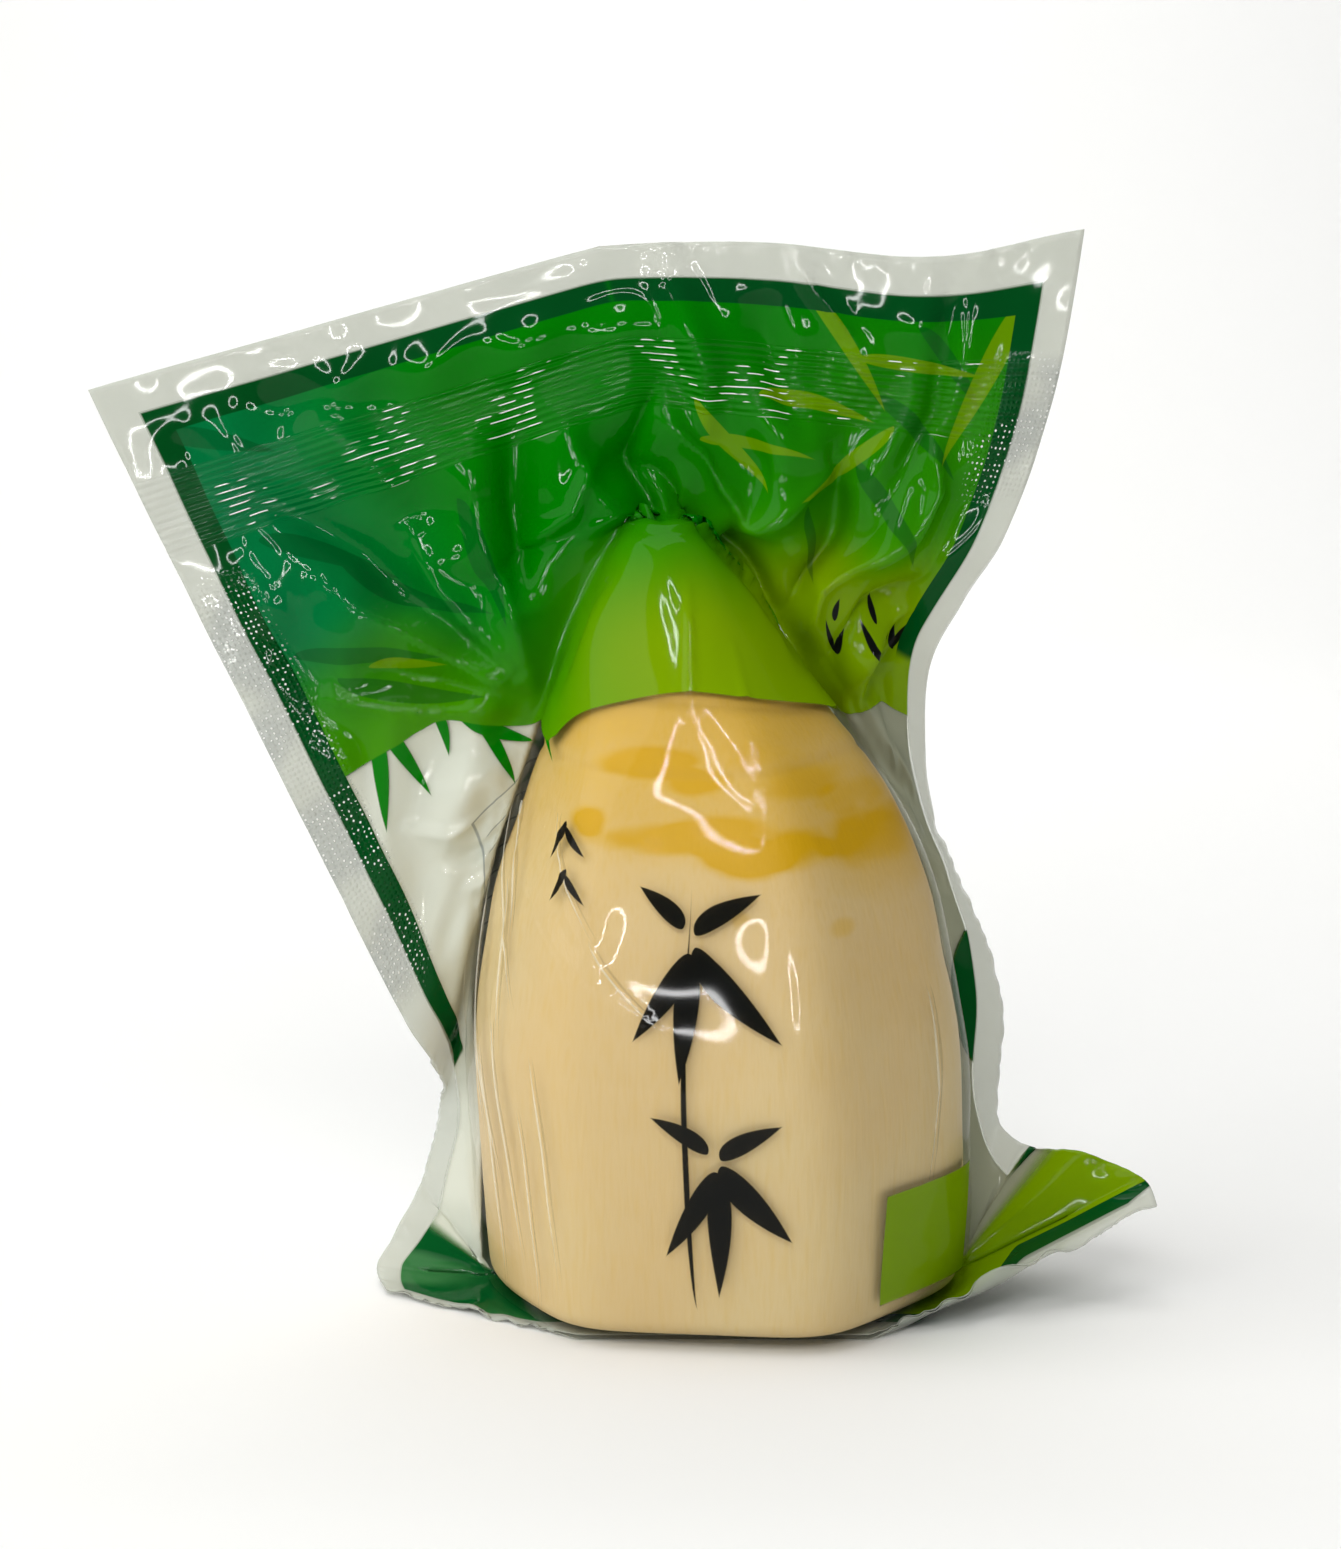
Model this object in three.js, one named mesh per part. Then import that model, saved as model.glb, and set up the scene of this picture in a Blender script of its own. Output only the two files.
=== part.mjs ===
// A peeled, boiled winter bamboo shoot, vacuum packed in a pouch of printed clear film.
//
// The shoot stands on its cut base. The pouch is two flat webs of film, heat sealed round the
// edge. The vacuum holds them tight to the shoot, and beyond its sides the webs lie together as a
// thin double sheet: a wide flap above the tip, a fin down each side and an ear at each bottom
// corner. Below, the webs meet under the base, and the bottom seal is folded forward there.
//
// Millimetres. +X right, +Y back, +Z up. The origin is on the floor, under the shoot's axis.

import * as THREE from "three";

// ---- driving dimensions: the shoot ----

const BASE_LEVEL = 2.4;        // the cut base stands on the folded film
const TIP_LEVEL = 136;
const DEPTH_RATIO = 0.94;      // front to back, as a share of its width
const BASE_ROUND = 3;          // the trimmed edge of the cut base

// Height above the floor, half width, and how far the middle leans to the right.
const SHOOT_PROFILE = [
  [BASE_LEVEL, 43.2, 1.6], [15, 44.1, 1.5], [30, 44.6, 1.0], [45, 44.5, 0.3],
  [60, 42.3, -0.2], [75, 38.8, -0.4], [90, 32.4, -1.3], [100, 26.6, -3.0],
  [110, 20.6, -5.0], [120, 15.4, -6.3], [128, 10.0, -7.2], [133, 5.6, -7.8],
  [TIP_LEVEL, 0, -8],
];

// The knife's flat cuts: the direction each one faces, and its distance from the axis, where 1 is
// a round section. They fade out towards the tip.
const KNIFE_CUTS = [
  [-97, 0.955], [-38, 0.95], [5, 0.97], [48, 0.95], [92, 0.96], [137, 0.95], [178, 0.97],
  [-152, 0.955],
].map(([degrees, reach]) => [THREE.MathUtils.degToRad(degrees), reach]);
const CUT_SHARPNESS = 14;
const CUT_FADE = [84, 124];    // heights between which the cuts give way to a round section

// ---- driving dimensions: the pouch ----

const POUCH_WIDTH = 180;
const POUCH_HEIGHT = 270;
const HALF_WIDTH = POUCH_WIDTH / 2;
const FILM = 0.5;              // stands in for a web of 0.1 mm
const GAP = 0.3;               // between neighbouring pieces
const WEB_PITCH = FILM + GAP;  // from web to web where they lie together
const FILM_OVER_SHOOT = 1.35;  // from the shoot's surface to the middle of a web
const FILM_OVER_TIP = 1.5;     // the web spans a little wider where the shoot is narrow
const TIP_LIFT = 2.4;          // and closes this far above its tip
const TIP_LIFT_FROM = [118, TIP_LEVEL];
const FIN_ROOT_GAP = 1.4;      // each web turns out into the fin this far from the fin's root

// Distances up the pouch from its bottom edge.
const SEAM = 32;               // here the webs meet, in a line under the middle of the base
const BACK_LEVEL = FILM / 2;   // heights of the web's layers under the base
const FOLD_LEVEL = BACK_LEVEL + WEB_PITCH;
const UNDER_LEVEL = FOLD_LEVEL + WEB_PITCH;

// The pouch's side edges: distance up the pouch, then the place.
const LEFT_EDGE = [
  [0, -57.5, -8, 1.1], [SEAM, -60, 1, 2.8], [54, -56.5, 7, 8.5], [74, -52.5, 12, 16],
  [98, -50, 18, 26], [120, -49, 13, 33.5], [135, -50, 4, 39.5], [146, -54, 0, 47],
  [180, -68.5, -2, 77.7], [210, -81.5, -2, 104.8], [240, -94.8, -1, 131.8],
  [POUCH_HEIGHT, -107.6, 0, 158.8],
];
const RIGHT_EDGE = [
  [0, 78.3, -7, 16.2], [SEAM, 76.5, -1, 19.5], [52, 67, 3, 23], [68, 58, 9, 22.5],
  [84, 53, 17, 25], [102, 53.5, 23, 33], [120, 54.3, 26, 44], [136, 51.5, 27, 56],
  [153, 46.2, 26, 68], [170, 40.5, 24, 82], [185, 38.5, 18, 97], [198, 38.8, 10, 111],
  [210, 43.5, 5, 121.5], [222, 50.5, 2, 133.5], [246, 58.5, 1, 157.5],
  [POUCH_HEIGHT, 63.3, 0, 187.2],
];

// The middle of the flap, above the tip.
const TOP_MIDDLE = [-19.5, 0, 183.2];
const FLAP_CLOSES = 0.12;      // share of the flap's height by which the webs lie together
const TOP_DIP = { across: 62, width: 24, deep: 4.6, from: 238 };  // the top edge sags here

// Where each fin leaves the shoot: degrees behind its widest line, by distance up the pouch.
const LEFT_FIN_ROOT = [
  [0, 0], [SEAM, 0], [76, 0], [96, 14], [120, 12], [145, 0], [POUCH_HEIGHT, 0],
];
const RIGHT_FIN_ROOT = [
  [0, 0], [SEAM, 0], [76, 0], [102, 24], [160, 26], [190, 8], [210, 0], [POUCH_HEIGHT, 0],
];

// Pleats that take up the spare width round the neck: distance across the pouch, width, depth,
// and the stretch up the pouch that each one runs through.
const PLEATS = [
  [-52, 10, 2.0, 185, 246], [-30, 8, -2.4, 196, 252], [14, 7, 3.2, 200, 248],
  [30, 7, -4.2, 186, 254], [46, 7, 4.4, 176, 246], [62, 7, -4.0, 170, 240], [76, 6, 2.2, 176, 226],
];

// ---- mesh density ----

const SHOOT_SIDES = 44;
const SHOOT_RINGS = 24;
const COLUMNS = 28;
const FLAP_ROWS = 8;
const SIDE_ROWS = 18;
const UNDER_STEPS = 8;         // the fine steps that the web's line and rows are measured on
const SIDE_STEPS = 160;
const TURN_STEPS = 20;

// ---- curves ----

// A smooth curve through keys, each a position followed by values: cubic between the keys, with
// each key's slope taken from its neighbours.
function through(keys, at) {
  const last = keys.length - 1;
  let k = 0;
  while (k < last - 1 && at > keys[k + 1][0]) k += 1;
  const slope = (i, c) => {
    const a = keys[Math.max(i - 1, 0)], b = keys[Math.min(i + 1, last)];
    return (b[c] - a[c]) / (b[0] - a[0]);
  };
  const [p, q] = [keys[k], keys[k + 1]];
  const span = q[0] - p[0];
  const u = THREE.MathUtils.clamp((at - p[0]) / span, 0, 1);
  const h = u * u * (3 - 2 * u);
  return p.slice(1).map((_, i) => {
    const c = i + 1;
    const start = slope(k, c) * span * u * (1 - u) * (1 - u);
    const end = slope(k + 1, c) * span * u * u * (u - 1);
    return p[c] * (1 - h) + q[c] * h + start + end;
  });
}

const smooth = (low, high, x) => THREE.MathUtils.smoothstep(x, low, high);
const mix = THREE.MathUtils.lerp;

// ---- the shoot ----

// Half width and lean at a height. Close to the tip the profile is a round dome.
function profileAt(level) {
  const dome = SHOOT_PROFILE.at(-2);
  if (level > dome[0]) {
    const u = (level - dome[0]) / (TIP_LEVEL - dome[0]);
    return [dome[1] * Math.sqrt(Math.max(1 - u * u, 0)), mix(dome[2], SHOOT_PROFILE.at(-1)[2], u)];
  }
  return through(SHOOT_PROFILE, level);
}

// The section's reach in a direction, where 1 is a circle: the soft minimum of the knife cuts.
function sectionReach(angle, level) {
  let sum = 0;
  for (const [facing, reach] of KNIFE_CUTS) {
    sum += Math.pow(Math.max(Math.cos(angle - facing), 0) / reach, CUT_SHARPNESS);
  }
  return mix(Math.pow(sum, -1 / CUT_SHARPNESS), 1, smooth(...CUT_FADE, level));
}

// A point of the shoot's surface, or of a surface that stands off it by a spread.
function shootPoint(angle, level, spread = 0) {
  const [half, lean] = profileAt(level);
  const edge = Math.max(BASE_LEVEL + BASE_ROUND - level, 0);
  const rounding = BASE_ROUND - Math.sqrt(BASE_ROUND ** 2 - Math.min(edge, BASE_ROUND) ** 2);
  const reach = sectionReach(angle, level);
  const across = (half * reach - rounding + spread) * Math.cos(angle);
  const back = (half * DEPTH_RATIO * reach - rounding + spread) * Math.sin(angle);
  return [lean + across, back, level];
}

function shootGeometry() {
  const rings = [];
  const roundSteps = 3;
  for (let i = 0; i < roundSteps; i += 1) {
    rings.push(BASE_LEVEL + BASE_ROUND * (1 - Math.cos((i / roundSteps) * Math.PI / 2)));
  }
  const start = BASE_LEVEL + BASE_ROUND;
  for (let i = 0; i < SHOOT_RINGS; i += 1) {
    rings.push(start + (TIP_LEVEL - start) * Math.sin((i / SHOOT_RINGS) * Math.PI / 2));
  }
  const points = [];
  for (const level of rings) {
    for (let j = 0; j < SHOOT_SIDES; j += 1) {
      points.push(shootPoint((j / SHOOT_SIDES) * 2 * Math.PI, level));
    }
  }
  const faces = [];
  for (let i = 0; i + 1 < rings.length; i += 1) {
    for (let j = 0; j < SHOOT_SIDES; j += 1) {
      const a = i * SHOOT_SIDES + j, b = i * SHOOT_SIDES + (j + 1) % SHOOT_SIDES;
      faces.push([a, b, b + SHOOT_SIDES], [a, b + SHOOT_SIDES, a + SHOOT_SIDES]);
    }
  }
  const foot = points.push([profileAt(BASE_LEVEL)[1], 0, BASE_LEVEL]) - 1;
  const tip = points.push([SHOOT_PROFILE.at(-1)[2], 0, TIP_LEVEL]) - 1;
  const top = (rings.length - 1) * SHOOT_SIDES;
  for (let j = 0; j < SHOOT_SIDES; j += 1) {
    const next = (j + 1) % SHOOT_SIDES;
    faces.push([foot, next, j], [tip, top + j, top + next]);
  }
  return solid(points, faces);
}

// ---- the pouch ----

// How far a web stands off the shoot at a height.
const standOff = (level) => mix(FILM_OVER_SHOOT, FILM_OVER_TIP, smooth(70, 115, level));

// The web's line in the middle plane, from the seam out to the edge of the base, round it, up the
// shoot and over the tip: distance up the pouch, height, and the share of the base's depth.
const WEB_LINE = (() => {
  const line = [];
  const depth = (level) => -shootPoint(-Math.PI / 2, level, standOff(level))[1];
  const edge = depth(BASE_LEVEL);
  for (let i = 0; i <= UNDER_STEPS; i += 1) {
    line.push({ level: UNDER_LEVEL, reach: (edge * i) / UNDER_STEPS, under: i / UNDER_STEPS });
  }
  for (let i = 1; i <= SIDE_STEPS; i += 1) {
    const level = mix(BASE_LEVEL, TIP_LEVEL, Math.sin((i / SIDE_STEPS) * Math.PI / 2));
    line.push({ level, reach: depth(level), under: 1 });
  }
  let along = SEAM;
  line.forEach((point, i) => {
    const from = line[Math.max(i - 1, 0)];
    along += Math.hypot(point.reach - from.reach, point.level - from.level);
    point.along = along;
  });
  return line;
})();
const TIP_ALONG = WEB_LINE.at(-1).along;
const EDGE_ALONG = WEB_LINE[UNDER_STEPS].along;

// The web's height, and how much of the base's depth it has reached, at a distance up the pouch.
function lineAt(along) {
  let k = 0;
  while (k < WEB_LINE.length - 2 && along > WEB_LINE[k + 1].along) k += 1;
  const [p, q] = [WEB_LINE[k], WEB_LINE[k + 1]];
  const u = THREE.MathUtils.clamp((along - p.along) / (q.along - p.along), 0, 1);
  return { level: mix(p.level, q.level, u), under: mix(p.under, q.under, u) };
}

// One row of a web over the shoot or under its base, from the left fin's root to its middle and on
// to the right fin's root. side is -1 for the front web and 1 for the back web.
function rowOverShoot(along, side) {
  const { level, under } = lineAt(along);
  const away = standOff(level);
  const inset = FIN_ROOT_GAP / (profileAt(level)[0] + away);
  const roots = [LEFT_FIN_ROOT, RIGHT_FIN_ROOT].map(
    (keys) => THREE.MathUtils.degToRad(through(keys, along)[0]) + side * inset,
  );
  const flat = side < 0 ? UNDER_LEVEL : BACK_LEVEL;
  const lift = under < 1 ? 0 : smooth(0, BASE_ROUND, level - BASE_LEVEL);
  return roots.map((root, right) => {
    return Array.from({ length: TURN_STEPS + 1 }, (_, i) => {
      const turn = mix(root, side * Math.PI / 2, i / TURN_STEPS);
      const angle = right ? turn : Math.PI - turn;
      const [x, y, z] = shootPoint(angle, level, away);
      const raised = z + TIP_LIFT * smooth(...TIP_LIFT_FROM, level);
      return new THREE.Vector3(x, y * under, mix(flat, raised, lift));
    });
  });
}

// One row of a web below the seam, where both webs lie together under the base.
function rowInFold(along, side) {
  const forward = SEAM - along;
  const level = side < 0 ? FOLD_LEVEL : BACK_LEVEL;
  const [half, lean] = profileAt(BASE_LEVEL);
  const reach = (half - BASE_ROUND) * Math.sqrt(1 - (forward / (half * DEPTH_RATIO)) ** 2);
  return [-1, 1].map((hand) => [
    new THREE.Vector3(lean + hand * reach, -forward, level),
    new THREE.Vector3(lean, -forward, level),
  ]);
}

// One row of the flap above the tip: it only has a middle.
function rowInFlap(along, side) {
  const rise = (along - TIP_ALONG) / (POUCH_HEIGHT - TIP_ALONG);
  const tip = new THREE.Vector3(SHOOT_PROFILE.at(-1)[2], 0, TIP_LEVEL + TIP_LIFT);
  const middle = tip.lerp(new THREE.Vector3(...TOP_MIDDLE), rise);
  middle.y += side * mix(FILM_OVER_TIP, WEB_PITCH / 2, smooth(0, FLAP_CLOSES, rise));
  return [[middle], [middle.clone()]];
}

// Where a web's side edge is: half a pitch from the middle of the double sheet, to its own side.
function webEdge(edge, along, side, root) {
  const step = 0.5;
  const here = new THREE.Vector3(...through(edge, along));
  const up = new THREE.Vector3(...through(edge, Math.min(along + step, POUCH_HEIGHT)))
    .sub(new THREE.Vector3(...through(edge, Math.max(along - step, 0))));
  const out = here.clone().sub(root);
  const hand = edge === LEFT_EDGE ? -1 : 1;
  return here.addScaledVector(up.cross(out).normalize(), hand * side * WEB_PITCH / 2);
}

// How far the pleats push the double sheet back at a place on the pouch. They stop at the shoot.
function pleatDepth(across, along) {
  let depth = 0;
  for (const [middle, width, deep, low, high] of PLEATS) {
    const u = (across - middle) / width;
    const v = (along - low) / (high - low);
    if (Math.abs(u) < 1 && v > 0 && v < 1) {
      depth += deep * Math.cos(u * Math.PI / 2) ** 2 * Math.sin(v * Math.PI) ** 1.5;
    }
  }
  return depth;
}

// Points spread along a polyline at the given shares of its length.
function spread(line, shares) {
  const lengths = [0];
  for (let i = 1; i < line.length; i += 1) lengths.push(lengths[i - 1] + line[i].distanceTo(line[i - 1]));
  const total = lengths.at(-1);
  return shares.map((share) => {
    let k = 0;
    while (k < line.length - 2 && share * total > lengths[k + 1]) k += 1;
    const u = (share * total - lengths[k]) / Math.max(lengths[k + 1] - lengths[k], 1e-9);
    return line[k].clone().lerp(line[k + 1], THREE.MathUtils.clamp(u, 0, 1));
  });
}

// A row of a web's middle surface: COLUMNS + 1 points from the left edge to the right edge.
function webRow(along, side) {
  let halves;
  if (along < SEAM) halves = rowInFold(along, side);
  else if (along < TIP_ALONG) halves = rowOverShoot(along, side);
  else halves = rowInFlap(along, side);
  if (along === SEAM && side < 0) {
    for (const half of halves) {
      half.forEach((point, i) => point.add(new THREE.Vector3(0, i ? WEB_PITCH / 2 : 0, -WEB_PITCH / 2)));
    }
  }
  const shares = Array.from({ length: COLUMNS / 2 + 1 }, (_, j) => j / (COLUMNS / 2));
  const row = halves.map((half, right) => {
    const edge = webEdge(right ? RIGHT_EDGE : LEFT_EDGE, along, side, half[0]);
    const points = spread([edge, ...half], shares);
    points.forEach((point, j) => {
      const across = (shares[j] - 1) * HALF_WIDTH * (right ? -1 : 1);
      const fin = half[0].distanceTo(edge);
      const free = half.length > 1 ? smooth(0, fin, fin - point.distanceTo(edge)) : 1;
      const dip = (across - TOP_DIP.across) / TOP_DIP.width;
      point.y += pleatDepth(across, along) * free;
      point.z -= TOP_DIP.deep * Math.exp(-dip * dip) * smooth(TOP_DIP.from, POUCH_HEIGHT, along);
    });
    return points;
  });
  return [...row[0], ...row[1].reverse().slice(1)];
}

// The rows' distances up the pouch, closer together at the fold and round the base's edge.
function rowPlaces() {
  const run = (from, to, count) => Array.from({ length: count }, (_, i) => mix(from, to, i / count));
  const fold = 0.8;
  const corner = 5;
  return [
    ...run(0, SEAM - fold, 4), SEAM - fold, SEAM, ...run(SEAM + fold, EDGE_ALONG - 1, 5),
    ...run(EDGE_ALONG - 1, EDGE_ALONG + corner, 4), ...run(EDGE_ALONG + corner, TIP_ALONG, SIDE_ROWS),
    ...run(TIP_ALONG, POUCH_HEIGHT, FLAP_ROWS), POUCH_HEIGHT,
  ];
}

// A web: its middle surface with half the film's thickness on each side, closed round the edge.
function webGeometry(side) {
  const grid = rowPlaces().map((along) => webRow(along, side));
  const [rows, columns] = [grid.length, COLUMNS + 1];
  const at = (i, j) => grid[Math.min(Math.max(i, 0), rows - 1)][Math.min(Math.max(j, 0), columns - 1)];
  const outer = [], inner = [];
  for (let i = 0; i < rows; i += 1) {
    for (let j = 0; j < columns; j += 1) {
      const up = at(i + 1, j).clone().sub(at(i - 1, j));
      const across = at(i, j + 1).clone().sub(at(i, j - 1));
      const out = across.cross(up).normalize().multiplyScalar(-side * FILM / 2);
      outer.push(at(i, j).clone().add(out).toArray());
      inner.push(at(i, j).clone().sub(out).toArray());
    }
  }
  const faces = [];
  const half = outer.length;
  const quad = (a, b, c, d) => faces.push(side < 0 ? [a, b, c] : [a, c, b], side < 0 ? [a, c, d] : [a, d, c]);
  for (let i = 0; i + 1 < rows; i += 1) {
    for (let j = 0; j + 1 < columns; j += 1) {
      const a = i * columns + j;
      const [b, c, d] = [a + 1, a + 1 + columns, a + columns];
      quad(a, b, c, d);
      quad(a + half, d + half, c + half, b + half);
    }
  }
  const rim = [];
  for (let j = 0; j + 1 < columns; j += 1) rim.push(j);
  for (let i = 0; i + 1 < rows; i += 1) rim.push(i * columns + columns - 1);
  for (let j = columns - 1; j > 0; j -= 1) rim.push((rows - 1) * columns + j);
  for (let i = rows - 1; i > 0; i -= 1) rim.push(i * columns);
  rim.forEach((a, k) => {
    const b = rim[(k + 1) % rim.length];
    quad(a, a + half, b + half, b);
  });
  return solid([...outer, ...inner], faces);
}

// ---- the part ----

function solid(points, faces) {
  const geometry = new THREE.BufferGeometry();
  geometry.setAttribute("position", new THREE.Float32BufferAttribute(points.flat(), 3));
  geometry.setIndex(faces.flat());
  geometry.computeVertexNormals();
  return geometry;
}

function piece(name, geometry, color, roughness) {
  const mesh = new THREE.Mesh(geometry, new THREE.MeshStandardMaterial({ color, roughness, metalness: 0 }));
  mesh.name = name;
  return mesh;
}

const packedShoot = new THREE.Group();
packedShoot.add(
  piece("shoot", shootGeometry(), 0xe3cd9c, 0.5),
  piece("front_film", webGeometry(-1), 0x2f8f1f, 0.12),
  piece("back_film", webGeometry(1), 0xe4e6e0, 0.15),
);

export default packedShoot;
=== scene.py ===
"""A peeled winter bamboo shoot, vacuum packed in a pouch of printed clear film.

The shoot stands on its cut base. The pouch is two webs of film, heat sealed round the edge: a front
web with green ink above and bare film below, and a back web with white ink. The vacuum draws both
onto the shoot, and beyond it they lie together as a flap, two side fins and two bottom ears.

Metres in Blender, millimetres in the classes. +X right, +Y back, +Z up.
"""

import logging
import math
from collections.abc import Callable
from dataclasses import dataclass, field
from enum import Enum

import bpy
import numpy as np
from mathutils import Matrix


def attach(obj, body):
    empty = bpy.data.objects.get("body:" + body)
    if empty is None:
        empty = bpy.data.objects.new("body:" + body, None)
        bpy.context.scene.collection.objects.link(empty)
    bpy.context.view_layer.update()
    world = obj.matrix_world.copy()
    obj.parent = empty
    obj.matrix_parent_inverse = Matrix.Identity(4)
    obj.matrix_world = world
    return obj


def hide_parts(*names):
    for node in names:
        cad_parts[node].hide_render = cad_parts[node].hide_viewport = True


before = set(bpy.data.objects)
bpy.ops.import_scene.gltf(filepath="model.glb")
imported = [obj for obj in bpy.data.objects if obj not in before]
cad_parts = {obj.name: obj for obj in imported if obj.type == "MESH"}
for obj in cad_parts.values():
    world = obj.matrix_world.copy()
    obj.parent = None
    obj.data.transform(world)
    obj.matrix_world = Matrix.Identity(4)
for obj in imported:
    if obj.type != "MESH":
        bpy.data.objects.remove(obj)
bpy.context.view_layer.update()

LOG = logging.getLogger("packed_shoot")
MM = 0.001


# ---- numbers and curves ----

def smooth(low: float, high: float, x: np.ndarray) -> np.ndarray:
    """A smooth step from 0 at low to 1 at high.

    Args:
        low: where the step starts.
        high: where it ends.
        x: the places to read it at.

    Returns:
        The step, as an array like x.
    """
    u = np.clip((np.asarray(x, float) - low) / (high - low), 0, 1)
    return u * u * (3 - 2 * u)


def mix(a: np.ndarray, b: np.ndarray, u: np.ndarray) -> np.ndarray:
    """The value between a and b at the share u of the way."""
    return a + (b - a) * u


def through(keys: list, at: np.ndarray) -> np.ndarray:
    """A smooth curve through keys: cubic between them, with slopes taken from the neighbours.

    Args:
        keys: rows of a position followed by values.
        at: the positions to read the curve at.

    Returns:
        The values, with one more axis than at.
    """
    table = np.array(keys, float)
    place, value = table[:, 0], table[:, 1:]
    slope = np.empty_like(value)
    slope[1:-1] = (value[2:] - value[:-2]) / (place[2:] - place[:-2])[:, None]
    slope[0] = (value[1] - value[0]) / (place[1] - place[0])
    slope[-1] = (value[-1] - value[-2]) / (place[-1] - place[-2])
    at = np.asarray(at, float)
    k = np.clip(np.searchsorted(place, at, side="left") - 1, 0, len(place) - 2)
    span = (place[k + 1] - place[k])[..., None]
    u = np.clip((at - place[k])[..., None] / span, 0, 1)
    h = u * u * (3 - 2 * u)
    bend = slope[k] * span * u * (1 - u) ** 2 + slope[k + 1] * span * u * u * (u - 1)
    return value[k] * (1 - h) + value[k + 1] * h + bend


def box_blur(values: np.ndarray, reach: int, axes: tuple = (0, 1)) -> np.ndarray:
    """Blurs whole arrays by running sums, twice along each axis for a smooth kernel.

    Args:
        values: the array.
        reach: how many neighbours each way.
        axes: the axes to blur along.

    Returns:
        The blurred array.
    """
    width = 2 * reach + 1
    for axis in axes * 2:
        pad = [(0, 0)] * values.ndim
        pad[axis] = (reach + 1, reach)
        total = np.cumsum(np.pad(values, pad, mode="edge"), axis=axis)
        size = values.shape[axis]
        upper = np.take(total, np.arange(width, width + size), axis=axis)
        values = (upper - np.take(total, np.arange(size), axis=axis)) / width
    return values


def ripple(rng: np.random.Generator, shape: tuple, reach: int) -> np.ndarray:
    """Seeded smooth noise on a grid: blurred random values, brought to a spread of 1.

    Args:
        rng: the seeded source.
        shape: rows and columns of the grid.
        reach: how far to blur, in grid steps.

    Returns:
        The noise, as an array of the given shape.
    """
    values = box_blur(rng.standard_normal(shape), reach)
    return (values - values.mean()) / values.std()


def grid_normals(points: np.ndarray) -> np.ndarray:
    """The unit normals of a grid of points, as the cross product of its two directions.

    Args:
        points: rows by columns by 3.

    Returns:
        The normals, in the same layout.
    """
    padded = np.pad(points, ((1, 1), (1, 1), (0, 0)), mode="edge")
    across = padded[1:-1, 2:] - padded[1:-1, :-2]
    up = padded[2:, 1:-1] - padded[:-2, 1:-1]
    normal = np.cross(across, up)
    return normal / np.maximum(np.linalg.norm(normal, axis=-1, keepdims=True), 1e-9)


def placed(name: str, data: bpy.types.ID) -> bpy.types.Object:
    """Makes an object of some data and links it to the scene.

    Args:
        name: the object's name.
        data: its mesh, light or camera.

    Returns:
        The object.
    """
    made = bpy.data.objects.new(name, data)
    bpy.context.scene.collection.objects.link(made)
    return made


def mesh_object(name: str, points: np.ndarray, faces: list) -> bpy.types.Object:
    """Makes a smooth mesh object at the origin from points in millimetres.

    Args:
        name: the object's name.
        points: n by 3.
        faces: lists of point numbers.

    Returns:
        The object, linked to the scene.
    """
    mesh = bpy.data.meshes.new(name)
    mesh.from_pydata((points * MM).tolist(), [], faces)
    mesh.polygons.foreach_set("use_smooth", np.ones(len(mesh.polygons), bool))
    mesh.update()
    return placed(name, mesh)


# ---- shader maths ----

def operator(kind: str, swapped: bool = False) -> Callable:
    """A method that adds a Math node of a kind.

    Args:
        kind: the node's operation.
        swapped: whether the two operands change places.

    Returns:
        The method.
    """
    def method(self: "Value", *others: "Value | float") -> "Value":
        """The node's result for this value and the others."""
        return self.tree.math(kind, *((*others, self) if swapped else (self, *others)))

    return method


class Value:
    """One output socket. Python's operators on it add Math nodes to its tree."""

    __add__ = __radd__ = operator("ADD")
    __sub__, __rsub__ = operator("SUBTRACT"), operator("SUBTRACT", swapped=True)
    __mul__ = __rmul__ = operator("MULTIPLY")
    __truediv__, __rtruediv__ = operator("DIVIDE"), operator("DIVIDE", swapped=True)
    __pow__ = operator("POWER")
    least, most = operator("MINIMUM"), operator("MAXIMUM")
    size, sine, root = operator("ABSOLUTE"), operator("SINE"), operator("SQRT")
    fraction = operator("FRACT")   # what is left above the next whole number below

    def __init__(self, tree: "Shader", socket: bpy.types.NodeSocket) -> None:
        """Keeps the tree and the socket."""
        self.tree = tree
        self.socket = socket

    def step(self, low: float, high: float) -> "Value":
        """A smooth step. low may be above high.

        Args:
            low: where it is 0.
            high: where it is 1.

        Returns:
            The step.
        """
        if low > high:
            return 1.0 - self.step(high, low)
        node = self.tree.node("MapRange", {"Value": self, "From Min": low, "From Max": high},
                              interpolation_type="SMOOTHSTEP")
        return Value(self.tree, node.outputs["Result"])


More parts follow.
